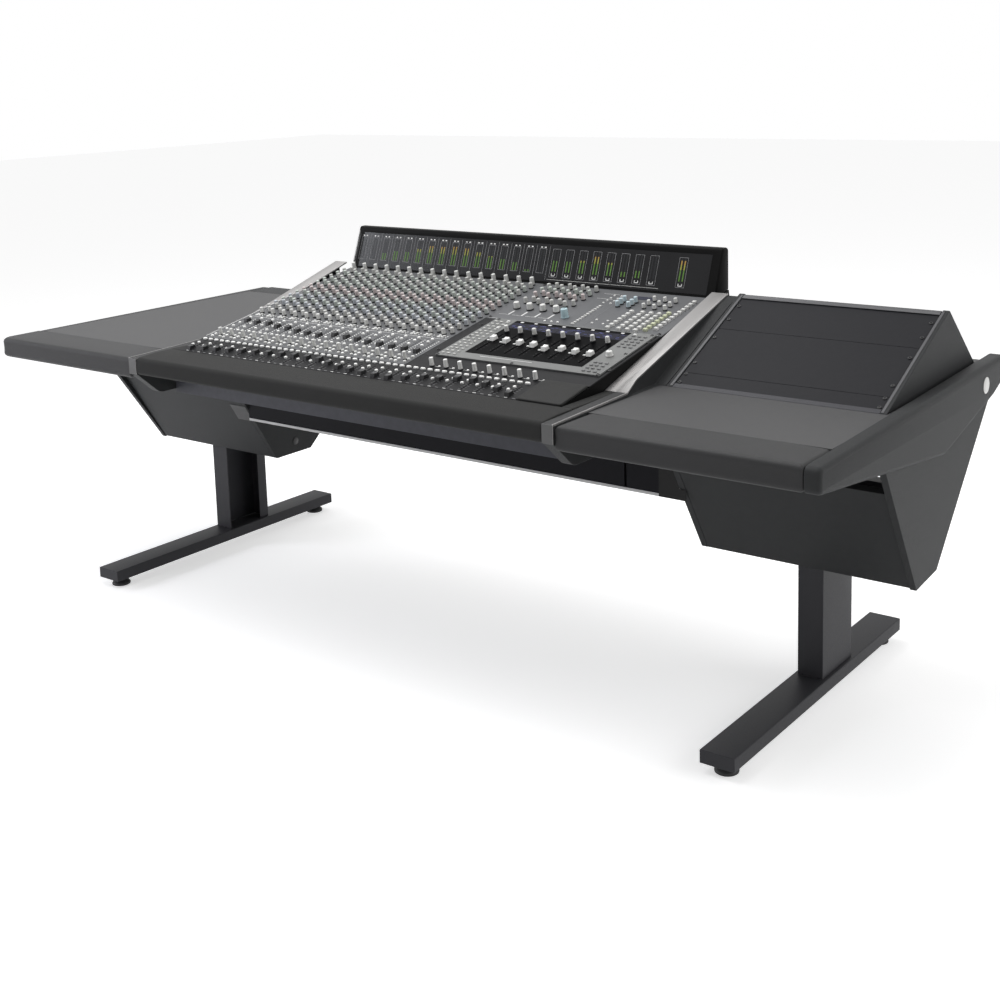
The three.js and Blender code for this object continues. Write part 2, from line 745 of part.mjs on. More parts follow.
// Trim: front cap and thin strip on the cheek, widening to a band where the cheek rises
function trimShape() {
  const inner = armrestWidth / 2;
  const lift = seatGap + trimThickness;
  const under = cheekBendHeight + seatGap;
  const rearUnder = cheekRearHeight + seatGap;
  const strip = alongX([
    [frontY, cheekFrontBottom], [frontY + capThickness, cheekFrontBottom],
    [frontY + capThickness, cheekFrontHeight + seatGap], [cheekBendY, under], [cheekRearY, rearUnder],
    [cheekRearY, cheekRearHeight + lift], [cheekBendY, cheekBendHeight + lift],
    [frontY, cheekFrontHeight + lift, capThickness],
  ], inner, bayHalfWidth);
  const band = alongX([
    [cheekBendY, under], [cheekRearY, rearUnder], [cheekRearY, cheekRearHeight + lift],
    [cheekBendY, cheekBendHeight + lift],
  ], trimBandInner, inner + cheekThickness / 2);
  return cut(join(strip, band), setBack(0));
}

part(desk, 'centre_armrest', 'leather', armrestShape());
pairSides.forEach(([word, side]) => {
  part(desk, `cheek_${word}`, 'board', cheekShape(side));
  part(desk, `cheek_trim_${word}`, 'silver', forSide(trimShape(), side));
});
const railEnd = armrestWidth / 2 - seatGap;
part(desk, 'front_rail', 'rail', block(-railEnd, railEnd, frontY + frontRailSetback,
  frontY + frontRailSetback + frontRailDepth, frontRailBottom, frontRailBottom + frontRailHeight));

// Console group: x to the right, y up the slope and z square to the panels
const console3d = new THREE.Group();
console3d.position.set(0, consoleFrontY, consoleFrontHeight);
console3d.rotation.x = consoleSlope;
desk.add(console3d);

const bridgeLean = THREE.MathUtils.degToRad(bridgeLeanDegrees) + consoleSlope;
const bridgeFoot = -panelThickness;
const bridgeTop = new THREE.Vector2(Math.sin(bridgeLean), Math.cos(bridgeLean))
  .multiplyScalar(bridgeFaceLength);
const bridgeRear = new THREE.Vector2(Math.cos(consoleSlope), -Math.sin(consoleSlope))
  .multiplyScalar(bridgeTopDepth).add(bridgeTop);
const bridgeBase = bridgeRear.x - bridgeRear.y * Math.tan(consoleSlope);
const chassisLength = consoleLength + bridgeBase;
const faderPitch = (screenRight - screenLeft) / controllerFaderCount;
const faderSlotEnd = faderSlotStart + faderTravel + faderStemLength + 2 * seatGap;

// Chassis: closed housing with pockets under the screen and the two turning knobs
function chassisShape() {
  const top = -panelThickness - seatGap;
  const body = block(-consoleHalfWidth, consoleHalfWidth, 0, chassisLength, -consoleDepth, top);
  const screenPocket = block(screenLeft, screenRight, screenStart, screenEnd, -pocketDepth, top + cutOverrun);
  const wells = [[monitorKnobX, monitorKnobRow], [jogKnobX, jogKnobRow]].map(([x, y]) => post(
    x, y, -pocketDepth, top + cutOverrun, shaftCollarRadius * 2));
  return cut(body, screenPocket, ...wells);
}

part(console3d, 'console_chassis', 'panelDark', chassisShape());
part(console3d, 'console_tray', 'board', block(-railEnd, railEnd, 0, chassisLength,
  -consoleDepth - seatGap - trayThickness, -consoleDepth - seatGap));

// Small controls are rooted half a panel deep, so that they are one piece with it
const root = -panelThickness / 2;

function knob(x, y, radius, topRadius, height, sides = knobSides) {
  return post(x, y, root, height, radius, topRadius, sides);
}

function faderCap(x, y, base = root) {
  const [w, l, t] = [faderCapWidth / 2, faderCapLength / 2, faderCapTaper];
  return alongX([[y - l, base], [y + l, base], [y + l - t, faderCapHeight], [y, faderCapHeight - t / 2],
    [y - l + t, faderCapHeight]], x - w, x + w);
}

const stripX = (i) => -consoleHalfWidth + stripMargin + stripPitch * (i + 0.5);

// Channel panel: one column of tall knobs in each strip, a short fader and a small knob below
function channelPanelShape() {
  const plate = block(-consoleHalfWidth, channelPanelRight, faderPanelLength + seatGap, consoleLength,
    -panelThickness, 0);
  const controls = [];
  for (let i = 0; i < stripCount; i += 1) {
    for (let row = 0; row < knobRows; row += 1) {
      const y = knobFirstRow + row * knobRowPitch;
      controls.push(knob(stripX(i), y, knobRadius, knobTopRadius, knobHeight));
    }
    controls.push(knob(stripX(i), trimKnobRow, trimKnobRadius, trimKnobRadius, trimKnobHeight));
    const travel = shortFaderShares[i % shortFaderShares.length] * shortFaderTravel;
    controls.push(faderCap(stripX(i), shortFaderRow + faderCapLength / 2 + travel));
  }
  return join(plate, ...controls);
}

// Fader panel: runs along the front, steps up beside the channel panel and round the leather pad
function faderPanelShape() {
  const left = channelPanelRight + seatGap;
  const plate = alongZ([
    [-consoleHalfWidth, 0], [padLeft, 0], [padLeft, padLength], [consoleHalfWidth, padLength],
    [consoleHalfWidth, surroundLength], [left, surroundLength], [left, faderPanelLength],
    [-consoleHalfWidth, faderPanelLength],
  ], -panelThickness, 0);
  const controls = [];
  for (let i = 0; i < mainFaderCount; i += 1) {
    const travel = mainFaderShares[i % mainFaderShares.length] * mainFaderTravel;
    controls.push(faderCap(stripX(i), mainFaderRow + faderCapLength / 2 + travel / 2));
    controls.push(block(stripX(i) - buttonWidth / 2, stripX(i) + buttonWidth / 2, buttonRow,
      buttonRow + buttonLength, root, buttonHeight));
  }
  for (let i = 0; i < surroundKnobCount; i += 1) {
    const x = channelPanelRight + surroundKnobMargin + i * surroundKnobPitch;
    controls.push(knob(x, surroundKnobRow, knobRadius, knobTopRadius, surroundKnobHeight));
  }
  return join(plate, ...controls);
}

// Master panel: knob columns on the left with wider knobs in front, two more columns, blocks of buttons
function masterPanelShape() {
  const plate = block(channelPanelRight + seatGap, consoleHalfWidth, masterStart + seatGap, consoleLength,
    -panelThickness, 0);
  const controls = [];
  for (let i = 0; i < masterColumns; i += 1) {
    const x = channelPanelRight + masterColumnMargin + i * masterColumnPitch;
    controls.push(knob(x, masterStart + masterWideRow, masterWideRadius, masterWideTopRadius,
      masterWideHeight));
    masterKnobRows.forEach((along) => {
      controls.push(knob(x, masterStart + along, knobRadius, knobTopRadius, knobHeight));
    });
  }
  talkKnobInsets.forEach((inset) => talkKnobRows.forEach((along) => {
    controls.push(knob(consoleHalfWidth - inset, masterStart + along, knobRadius, knobTopRadius, knobHeight));
  }));
  masterButtonBlocks.forEach(({ insets, first, pitch, count }) => insets.forEach((inset) => {
    for (let row = 0; row < count; row += 1) {
      const x = consoleHalfWidth - inset;
      const y = masterStart + first + row * pitch;
      controls.push(block(x, x + masterButtonWidth, y, y + masterButtonLength, root, masterButtonHeight));
    }
  }));
  const bore = post(monitorKnobX, monitorKnobRow, -panelThickness - cutOverrun, cutOverrun,
    shaftRadius + seatGap);
  return cut(join(plate, ...controls), bore);
}

// Controller frame: base plate with a ledge for the screen and a raised rim round it
function controllerFrameShape() {
  const y0 = surroundLength + seatGap;
  const base = block(channelPanelRight + seatGap, consoleHalfWidth, y0, masterStart, -panelThickness, 0);
  const rim = block(controllerLeft, controllerRight, y0 + controllerMargin, masterStart - controllerMargin,
    root, controllerRim);
  const recess = block(screenLeft - seatGap, screenRight + seatGap, screenStart - seatGap,
    screenEnd + seatGap, 0, controllerRim + cutOverrun);
  const window = block(screenLeft + screenLedge, screenRight - screenLedge, screenStart + screenLedge,
    screenEnd - screenLedge, -panelThickness - cutOverrun, cutOverrun);
  const bore = post(jogKnobX, jogKnobRow, -panelThickness - cutOverrun, controllerRim + cutOverrun,
    shaftRadius + seatGap);
  return cut(join(base, rim), recess, window, bore);
}

const faderX = (i) => screenLeft + faderPitch * (i + 0.5);

// Screen: pane with a slot for each fader and a row of knobs on it
function screenShape() {
  const z0 = seatGap;
  const z1 = z0 + screenThickness;
  const pane = block(screenLeft, screenRight, screenStart, screenEnd, z0, z1);
  const knobs = [];
  const slots = [];
  for (let i = 0; i < controllerFaderCount; i += 1) {
    knobs.push(post(faderX(i), screenKnobRow, (z0 + z1) / 2, z1 + screenKnobHeight, screenKnobRadius,
      screenKnobRadius * knobTopRadius / knobRadius, knobSides));
    slots.push(block(faderX(i) - faderSlotWidth / 2, faderX(i) + faderSlotWidth / 2, faderSlotStart,
      faderSlotEnd, z0 - cutOverrun, z1 + cutOverrun));
  }
  return cut(join(pane, ...knobs), ...slots);
}

// Controller fader: cap over the pane, stem through the slot and a carriage under it
function controllerFaderShape() {
  const lower = 0;
  const upper = seatGap + screenThickness + seatGap;
  const half = faderStemWidth / 2;
  const carriage = block(-faderCarriageWidth / 2, faderCarriageWidth / 2, -faderStemLength / 2,
    faderStemLength / 2, lower - faderCarriageHeight, lower);
  const stem = block(-half, half, -faderStemLength / 2, faderStemLength / 2, lower - faderCarriageHeight / 2,
    upper + faderStemRise);
  const cap = faderCap(0, 0, 0).translate(0, 0, upper);
  return join(carriage, stem, cap);
}

part(console3d, 'channel_panel', 'panelGrey', channelPanelShape());
part(console3d, 'fader_panel', 'panelDark', faderPanelShape());
part(console3d, 'master_panel', 'panelGrey', masterPanelShape());
part(console3d, 'controller_frame', 'silver', controllerFrameShape());
part(console3d, 'controller_screen', 'screen', screenShape());
for (let i = 0; i < controllerFaderCount; i += 1) {
  const share = faderRestShares[i % faderRestShares.length];
  const fader = part(console3d, `controller_fader_${i + 1}`, 'cap', controllerFaderShape());
  fader.position.set(faderX(i), faderSlotStart + seatGap + faderStemLength / 2 + share * faderTravel, 0);
}

// Turning knob: grip, shaft through the panel and a collar that holds it from below
function turningKnobShape(radius, topRadius, height, through) {
  const grip = post(0, 0, seatGap, height, radius, topRadius, gripSides);
  const shaft = post(0, 0, -through - shaftLength, height / 2, shaftRadius, shaftRadius, gripSides);
  const collarTop = -through - seatGap;
  const collar = post(0, 0, collarTop - shaftCollarHeight, collarTop, shaftCollarRadius, shaftCollarRadius,
    gripSides);
  return join(grip, shaft, collar);
}

part(console3d, 'monitor_knob', 'blueKnob', turningKnobShape(monitorKnobRadius, monitorKnobTopRadius,
  monitorKnobHeight, panelThickness)).position.set(monitorKnobX, monitorKnobRow, 0);
part(console3d, 'jog_knob', 'cap', turningKnobShape(jogKnobRadius, jogKnobTopRadius, jogKnobHeight,
  panelThickness + controllerRim)).position.set(jogKnobX, jogKnobRow, controllerRim);

part(console3d, 'leather_pad', 'leather', alongZ([
  [padLeft + seatGap, 0, padCorner], [consoleHalfWidth, 0, padCorner],
  [consoleHalfWidth, padLength - seatGap, padCorner], [padLeft + seatGap, padLength - seatGap, padCorner],
], -panelThickness, padHeight, padRadius, armRoundSteps));

// Meter bridge: leaning housing with rounded ends and a window let into its face
function bridgeOutline() {
  return [
    [consoleLength + seatGap, bridgeFoot],
    [consoleLength + bridgeTop.x, bridgeTop.y + bridgeFoot, glassMargin],
    [consoleLength + bridgeRear.x, bridgeRear.y + bridgeFoot, bridgeEndRound],
    [chassisLength, bridgeFoot],
  ].reverse();
}

const bridgeFaceTurn = new THREE.Matrix4().makeTranslation(0, consoleLength + seatGap, bridgeFoot)
  .multiply(new THREE.Matrix4().makeRotationX(Math.PI / 2 - bridgeLean));

// Plate lying in the face of the bridge, z0 to z1 above it
function onBridgeFace(halfLength, low, high, z0, z1) {
  return block(-halfLength, halfLength, low, high, z0, z1).applyMatrix4(bridgeFaceTurn);
}

const glassHalf = consoleHalfWidth - bridgeEndWidth - glassMargin;
const glassHigh = bridgeFaceLength - 2 * glassMargin;

function bridgeShape() {
  const housing = alongX(bridgeOutline(), -consoleHalfWidth, consoleHalfWidth, bridgeEndRound / 2,
    armRoundSteps);
  const level = block(-consoleHalfWidth - cutOverrun, consoleHalfWidth + cutOverrun, 0,
    chassisLength + bridgeFaceLength, bridgeFoot - bridgeFaceLength, bridgeFoot);
  const recess = onBridgeFace(glassHalf + seatGap, glassMargin - seatGap, glassHigh + seatGap,
    -glassThickness - seatGap, cutOverrun);
  return cut(housing, level, recess);
}

part(console3d, 'meter_bridge', 'panelDark', bridgeShape());
part(console3d, 'meter_glass', 'screen', onBridgeFace(glassHalf, glassMargin, glassHigh, -glassThickness, 0));

// Turret group: stands on the right side desk, x from its left side, y to the rear
const turret = new THREE.Group();
turret.position.set(turretLeft, frontY + turretFrontSetback, surfaceHeight + seatGap);
desk.add(turret);

const turretFace = THREE.MathUtils.degToRad(turretFaceDegrees);
const turretUnits = rackUnitCounts.reduce((sum, units) => sum + units);
const turretFaceLength = turretUnits * rackUnitHeight + 2 * rackBorder;
const turretApex = new THREE.Vector2(Math.cos(turretFace), Math.sin(turretFace))
  .multiplyScalar(turretFaceLength);
const turretBase = turretRearSetback - turretFrontSetback;
const turretInner = turretSideThickness + seatGap;
const turretRight = turretWidth - turretInner;

function turretSideShape() {
  return alongX([[0, 0], [turretBase, 0], [turretApex.x, turretApex.y, turretApexRadius]], 0,
    turretSideThickness);
}

part(turret, 'turret_side_left', 'board', turretSideShape());
part(turret, 'turret_side_right', 'board', turretSideShape()).position.x = turretWidth - turretSideThickness;

// Face group: y up the sloping face and z out of it
const face = new THREE.Group();
face.rotation.x = turretFace;
turret.add(face);

const rackSurface = -rackPanelRecess;
const railTop = rackSurface - rackPanelThickness - seatGap;

function railShape() {
  const half = rackRailWidth - rackRailSheet;
  const outline = [
    [0, 0], [rackRailWidth, 0], [rackRailWidth, -rackRailSheet], [rackRailWidth - half, -rackRailSheet],
    [rackRailWidth - half, -rackRailDepth], [0, -rackRailDepth],
  ];
  const railEndY = rackBorder + turretUnits * rackUnitHeight - rackRailDepth;
  const rail = alongY(outline.reverse(), rackBorder, railEndY);
  const desktop = block(-turretWidth, turretWidth, -turretBase, turretBase, -turretBase, 0);
  return cut(rail, desktop.rotateX(-turretFace).translate(0, 0, -railTop));
}

part(face, 'rack_rail_left', 'steel', railShape()).position.set(turretInner, 0, railTop);
part(face, 'rack_rail_right', 'steel', mirrored(railShape())).position.set(turretRight, 0, railTop);

let rackStart = rackBorder;
const panelMiddle = turretWidth / 2;
rackUnitCounts.forEach((units) => {
  const start = rackStart + rackPanelClearance / 2;
  const end = rackStart + units * rackUnitHeight - rackPanelClearance / 2;
  part(face, `rack_panel_${units}u`, 'rackPanel', block(panelMiddle - rackPanelWidth / 2,
    panelMiddle + rackPanelWidth / 2, start, end, rackSurface - rackPanelThickness, rackSurface));
  rackStart += units * rackUnitHeight;
});

// Strips above and below the rack panels; the upper one folds over the ridge
const stripDepth = rackPanelRecess + rackPanelThickness;
part(face, 'turret_bottom_strip', 'board', alongX([
  [stripDepth / Math.tan(turretFace), -stripDepth], [rackBorder, -stripDepth], [rackBorder, 0], [0, 0],
], turretInner, turretRight));

const ridge = turretFaceLength - turretApexRadius;
const topStripStart = turretFaceLength - rackBorder + seatGap;
part(face, 'turret_top_strip', 'silver', block(turretInner, turretRight, topStripStart, ridge,
  -stripDepth, 0));

// Back board: from under the ridge down the rear slope, with a cable slot left open below
function turretBackShape() {
  const rear = new THREE.Vector2(turretBase, 0);
  const along = rear.clone().sub(turretApex).normalize();
  const inward = new THREE.Vector2(along.y, -along.x).multiplyScalar(turretBackThickness);
  const inwardUnit = inward.clone().normalize();
  const topPoint = turretApex.clone().add(along.clone().multiplyScalar(turretApexRadius * 2));
  const slope = Math.abs(along.y);
  const bottomPoint = rear.clone().sub(along.clone().multiplyScalar(turretBackSlot / slope));
  const skin = inwardUnit.clone().multiplyScalar(seatGap);
  const corners = [topPoint, bottomPoint, bottomPoint.clone().add(inward), topPoint.clone().add(inward)];
  return alongX(corners.map((p) => [p.x + skin.x, p.y + skin.y]), turretInner, turretRight);
}

part(turret, 'turret_back', 'board', turretBackShape());

export default desk;
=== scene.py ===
# Studio desk with a mixing console in its bay and a rack turret on the right: finishes and fine detail.
# Metres, +Z up, +Y to the rear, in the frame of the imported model.
import json
from math import cos, pi, radians, sin

import bmesh
import bpy
import numpy as np
from mathutils import Matrix, Vector

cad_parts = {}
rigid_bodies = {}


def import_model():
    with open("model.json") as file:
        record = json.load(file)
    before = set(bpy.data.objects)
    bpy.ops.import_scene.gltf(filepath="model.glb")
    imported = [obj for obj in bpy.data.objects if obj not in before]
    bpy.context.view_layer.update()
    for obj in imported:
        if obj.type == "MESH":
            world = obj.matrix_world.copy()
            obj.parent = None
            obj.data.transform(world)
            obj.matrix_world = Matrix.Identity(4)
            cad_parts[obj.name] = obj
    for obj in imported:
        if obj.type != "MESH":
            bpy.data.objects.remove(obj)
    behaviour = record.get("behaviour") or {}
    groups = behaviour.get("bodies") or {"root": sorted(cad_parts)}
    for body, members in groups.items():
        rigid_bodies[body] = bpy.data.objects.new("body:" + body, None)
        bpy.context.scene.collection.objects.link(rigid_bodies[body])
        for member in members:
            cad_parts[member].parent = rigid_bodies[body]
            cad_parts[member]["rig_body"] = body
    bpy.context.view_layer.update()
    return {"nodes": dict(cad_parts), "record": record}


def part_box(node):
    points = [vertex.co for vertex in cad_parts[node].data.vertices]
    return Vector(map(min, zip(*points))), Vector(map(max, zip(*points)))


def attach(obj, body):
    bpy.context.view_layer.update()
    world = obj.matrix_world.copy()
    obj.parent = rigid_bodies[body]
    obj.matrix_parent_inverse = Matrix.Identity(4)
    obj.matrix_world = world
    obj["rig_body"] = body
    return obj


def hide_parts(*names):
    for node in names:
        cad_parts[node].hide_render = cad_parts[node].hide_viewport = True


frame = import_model()
scene = bpy.context.scene
print("frame loaded:", len(frame["nodes"]), "nodes")


# A node of a tree: its settings, and its sockets with a value or a link from another node's output
def addNode(tree, kind, sockets=None, **settings):
    node = tree.nodes.new("ShaderNode" + kind)
    for setting, value in settings.items():
        setattr(node, setting, value)
    for socket, value in (sockets or {}).items():
        if hasattr(value, "is_linked"):
            tree.links.new(value, node.inputs[socket])
        else:
            node.inputs[socket].default_value = value
    return node


def mathNode(tree, operation, first, second, clamp=False):
    return addNode(tree, "Math", {0: first, 1: second}, operation=operation, use_clamp=clamp).outputs[0]


# Camera, floor and light

cameraView = dict(
    place=(2.270, -2.769, 1.445),
    yaw=-37.4, pitch=9.1, roll=-1.66,      # degrees, to the left, downwards and clockwise
    focalShare=1.413, sensor=36.0,         # focal length as a share of the picture's width, millimetres
    axisShare=0.29,                        # how far down the picture the optical axis meets it
)


def makeCamera(view):
    yaw, pitch, roll = (radians(view[key]) for key in ("yaw", "pitch", "roll"))
    ahead = Vector((sin(yaw) * cos(pitch), cos(yaw) * cos(pitch), -sin(pitch)))
    side = Vector((cos(yaw), -sin(yaw), 0))
    above = side.cross(ahead)
    right = side * cos(roll) + above * sin(roll)
    up = above * cos(roll) - side * sin(roll)
    data = bpy.data.cameras.new("photoCamera")
    data.sensor_width = view["sensor"]
    data.lens = view["focalShare"] * view["sensor"]
    data.shift_y = view["axisShare"] - 0.5
    camera = bpy.data.objects.new("photoCamera", data)
    turn = Matrix((right, up, -ahead)).transposed().to_4x4()
    camera.matrix_world = Matrix.Translation(view["place"]) @ turn
    scene.collection.objects.link(camera)
    scene.camera = camera


makeCamera(cameraView)
scene.view_settings.view_transform = "Standard"

studio = dict(
    floorSize=40.0, floorColour=(0.9, 0.9, 0.9), floorGlow=0.55,
    frontLevel=0.11, rearLevel=0.64,       # world strength seen towards the front and the rear
    frontEnd=-0.75, rearEnd=0.35,          # where those strengths are reached, along the direction's Y
    lamps=[
        # name, place, aim, width, height, watts, colour
        ("topSoftbox", (-0.4, -0.3, 3.5), (0.0, 0.0, 0.6), 3.2, 2.0, 88.0, (1, 1, 1)),
        ("rightSoftbox", (4.4, 0.6, 1.9), (0.6, 0.0, 0.5), 2.6, 2.2, 36.0, (1, 1, 1)),
        ("leftSoftbox", (-2.5, -2.0, 1.0), (-1.0, -0.2, 0.5), 1.3, 0.9, 18.0, (0.94, 0.93, 1)),
        ("sheenCard", (-3.2, -1.7, 2.3), (-0.5, 0.2, 0.9), 0.8, 0.7, 18.0, (0.9, 0.93, 1)),
    ],
)


# One for the rays that show the background: seen straight, in gloss or through glass
def backdropRay(tree):
    rays = addNode(tree, "LightPath").outputs
    seen = rays["Is Camera Ray"]
    for ray in ("Is Glossy Ray", "Is Transmission Ray"):
        seen = mathNode(tree, "MAXIMUM", seen, rays[ray])
    return seen


# Emptied node tree of a material or world
def emptyTree(owner):
    owner.use_nodes = True
    owner.node_tree.nodes.clear()
    return owner.node_tree


def makeStudio(design):
    half = design["floorSize"] / 2
    mesh = bpy.data.meshes.new("studioFloor")
    corners = [(-half, -half, 0), (half, -half, 0), (half, half, 0), (-half, half, 0)]
    mesh.from_pydata(corners, [], [(0, 1, 2, 3)])
    floor = bpy.data.objects.new("studioFloor", mesh)
    scene.collection.objects.link(floor)
    paint = bpy.data.materials.new("paleFloor")
    tree = emptyTree(paint)
    matt = addNode(tree, "BsdfDiffuse", {"Color": (*design["floorColour"], 1)})
    strength = mathNode(tree, "MULTIPLY", backdropRay(tree), design["floorGlow"])
    glow = addNode(tree, "Emission", {"Strength": strength})
    total = addNode(tree, "AddShader", {0: matt.outputs[0], 1: glow.outputs[0]})
    addNode(tree, "OutputMaterial", {"Surface": total.outputs[0]})
    mesh.materials.append(paint)

    for name, place, aim, width, height, watts, colour in design["lamps"]:
        lamp = bpy.data.lights.new(name, "AREA")
        lamp.shape = "RECTANGLE"
        lamp.size, lamp.size_y, lamp.energy, lamp.color = width, height, watts, colour
        holder = bpy.data.objects.new(name, lamp)
        turn = (Vector(aim) - Vector(place)).to_track_quat("-Z", "Y").to_matrix().to_4x4()
        holder.matrix_world = Matrix.Translation(place) @ turn
        scene.collection.objects.link(holder)

    world = bpy.data.worlds.new("studioWorld")
    scene.world = world
    tree = emptyTree(world)
    split = addNode(tree, "SeparateXYZ", {0: addNode(tree, "TexCoord").outputs["Generated"]})
    level = addNode(tree, "MapRange", {
        "Value": split.outputs["Y"], "From Min": design["frontEnd"], "From Max": design["rearEnd"],
        "To Min": design["frontLevel"], "To Max": design["rearLevel"],
    }, interpolation_type="SMOOTHSTEP")
    seen = addNode(tree, "Mix", {"Factor": backdropRay(tree), "A": level.outputs[0], "B": 1.0})
    back = addNode(tree, "Background", {"Color": (1, 1, 1, 1), "Strength": seen.outputs["Result"]})
    addNode(tree, "OutputWorld", {"Surface": back.outputs[0]})


makeStudio(studio)
print("camera, floor and light made")


# Shared effects, each a node group

def newGroup(name, inputs, outputs):
    group = bpy.data.node_groups.new(name, "ShaderNodeTree")
    kinds = dict(value="NodeSocketFloat", colour="NodeSocketColor")
    for socket, (kind, default) in inputs.items():
        made = group.interface.new_socket(name=socket, in_out="INPUT", socket_type=kinds[kind])
        made.default_value = default
    for socket, kind in outputs.items():
        group.interface.new_socket(name=socket, in_out="OUTPUT", socket_type=kinds[kind])
    start = group.nodes.new("NodeGroupInput")
    end = group.nodes.new("NodeGroupOutput")
    return group, start, end


def noiseNode(tree, scale, detail=2.0, vector=None):
    place = vector or addNode(tree, "TexCoord").outputs["Object"]
    return addNode(tree, "TexNoise", {"Vector": place, "Scale": scale, "Detail": detail}).outputs["Fac"]


pebble = dict(domeGain=3.0, domePower=0.5, fineScale=2.5, fineDetail=1.0, fineShare=0.25)


# Pebbled leatherette: rounded cells with fine creases between them
def makePebbleGrain(design):
    group, start, end = newGroup("pebbleGrain", {"Cells": ("value", 900.0)},
                                 {"Height": "value", "Crease": "value"})
    place, count = addNode(group, "TexCoord").outputs["Object"], start.outputs["Cells"]
    cells = addNode(group, "TexVoronoi", {"Vector": place, "Scale": count}, feature="DISTANCE_TO_EDGE")
    dome = mathNode(group, "MULTIPLY", cells.outputs["Distance"], design["domeGain"], clamp=True)
    rounded = mathNode(group, "POWER", dome, design["domePower"])
    fineScale = mathNode(group, "MULTIPLY", count, design["fineScale"])
    fine = noiseNode(group, fineScale, design["fineDetail"], place)
    height = mathNode(group, "ADD", mathNode(group, "MULTIPLY", fine, design["fineShare"]), rounded)
    group.links.new(height, end.inputs["Height"])
    group.links.new(mathNode(group, "SUBTRACT", 1.0, rounded), end.inputs["Crease"])
    return group


middleGrey = (0.5, 0.5, 0.5, 1)


# Broad, soft change of tone over a surface: the noise, from 0 to 1, is centred to run from -1 to 1
def makeToneDrift(detail):
    group, start, end = newGroup(
        "toneDrift",
        {"Colour": ("colour", middleGrey), "Amount": ("value", 0.1), "Scale": ("value", 3.0)},
        {"Colour": "colour"})
    broad = noiseNode(group, start.outputs["Scale"], detail)
    centred = mathNode(group, "MULTIPLY", mathNode(group, "SUBTRACT", broad, 0.5), 2.0)
    swing = mathNode(group, "MULTIPLY", centred, start.outputs["Amount"])
    scale = mathNode(group, "ADD", swing, 1.0)
    scaled = addNode(group, "VectorMath", {0: start.outputs["Colour"], "Scale": scale}, operation="SCALE")
    group.links.new(scaled.outputs[0], end.inputs["Colour"])
    return group


# Fine lines along X, as on brushed metal
def makeBrushedLines():
    group, start, end = newGroup("brushedLines", {"Across": ("value", 1500.0), "Along": ("value", 8.0)},
                                 {"Height": "value"})
    along, across = start.outputs["Along"], start.outputs["Across"]
    place = addNode(group, "TexCoord").outputs["Object"]
    stretch = addNode(group, "CombineXYZ", {"X": along, "Y": across, "Z": across}).outputs[0]
    scaled = addNode(group, "VectorMath", {0: place, 1: stretch}, operation="MULTIPLY")
    group.links.new(noiseNode(group, 1.0, 2.0, scaled.outputs[0]), end.inputs["Height"])
    return group


powder = dict(coarseScale=0.22, coarseShare=0.6)


# Fine texture of powder coat and moulded plastic
def makePowderCoat(design):
    group, start, end = newGroup("powderCoat", {"Grain": ("value", 1400.0)},
                                 {"Height": "value", "Speckle": "value"})
    fine = noiseNode(group, start.outputs["Grain"])
    coarse = noiseNode(group, mathNode(group, "MULTIPLY", start.outputs["Grain"], design["coarseScale"]))
    raised = mathNode(group, "MULTIPLY", coarse, design["coarseShare"])
    group.links.new(mathNode(group, "ADD", fine, raised), end.inputs["Height"])
    group.links.new(coarse, end.inputs["Speckle"])
    return group


wearAndSheen = dict(sharpFrom=0.52, sharpTo=0.62, patchScale=60.0, patchDetail=3.0, everywhere=0.2)


# Lighter tone along edges, from how sharply the surface turns: wear in patches, and a painted highlight, the
# sheen that light gives eased edges
def makeEdgeWearAndSheen(design):
    group, start, end = newGroup(
        "edgeWear",
        {"Colour": ("colour", middleGrey), "Worn": ("colour", (0.7, 0.7, 0.7, 1)), "Amount": ("value", 0.4)},
        {"Colour": "colour"})
    turn = addNode(group, "NewGeometry").outputs["Pointiness"]
    edge = addNode(group, "MapRange", {"Value": turn, "From Min": design["sharpFrom"],
                                       "From Max": design["sharpTo"]})
    patches = noiseNode(group, design["patchScale"], design["patchDetail"])
    patchy = mathNode(group, "ADD", patches, design["everywhere"], clamp=True)
    worn = mathNode(group, "MULTIPLY", edge.outputs[0], patchy)
    share = mathNode(group, "MULTIPLY", worn, start.outputs["Amount"])
    # The colours of a mix node are its inputs 6 and 7, and its output 2
    blend = addNode(group, "Mix", {"Factor": share, 6: start.outputs["Colour"], 7: start.outputs["Worn"]},
                    data_type="RGBA")
    group.links.new(blend.outputs[2], end.inputs["Colour"])
    return group


groups = dict(pebbleGrain=makePebbleGrain(pebble), toneDrift=makeToneDrift(3.0),
              brushedLines=makeBrushedLines(), powderCoat=makePowderCoat(powder), edgeWear=makeEdgeWearAndSheen(wearAndSheen))


# Materials

def useGroup(tree, name, **values):
    return addNode(tree, "Group", values, node_tree=groups[name]).outputs


def surface(name, colour, roughness, specular, metallic=0.0, sheen=0.0, anisotropic=0.0):
    material = bpy.data.materials.new(name)
    material.use_nodes = True
    shader = material.node_tree.nodes["Principled BSDF"]
    shader.inputs["Base Color"].default_value = (*colour, 1)
    shader.inputs["Roughness"].default_value = roughness
    shader.inputs["Metallic"].default_value = metallic
    shader.inputs["Specular IOR Level"].default_value = specular
    shader.inputs["Sheen Weight"].default_value = sheen
    shader.inputs["Anisotropic"].default_value = anisotropic
    return material, material.node_tree, shader


def bump(tree, shader, height, distance, strength):
    node = addNode(tree, "Bump", {"Height": height, "Distance": distance, "Strength": strength})
    tree.links.new(node.outputs[0], shader.inputs["Normal"])


# Roughness that runs from low to high with value
def spread(tree, shader, value, low, high):
    node = addNode(tree, "MapRange", {"Value": value, "To Min": low, "To Max": high})
    tree.links.new(node.outputs[0], shader.inputs["Roughness"])


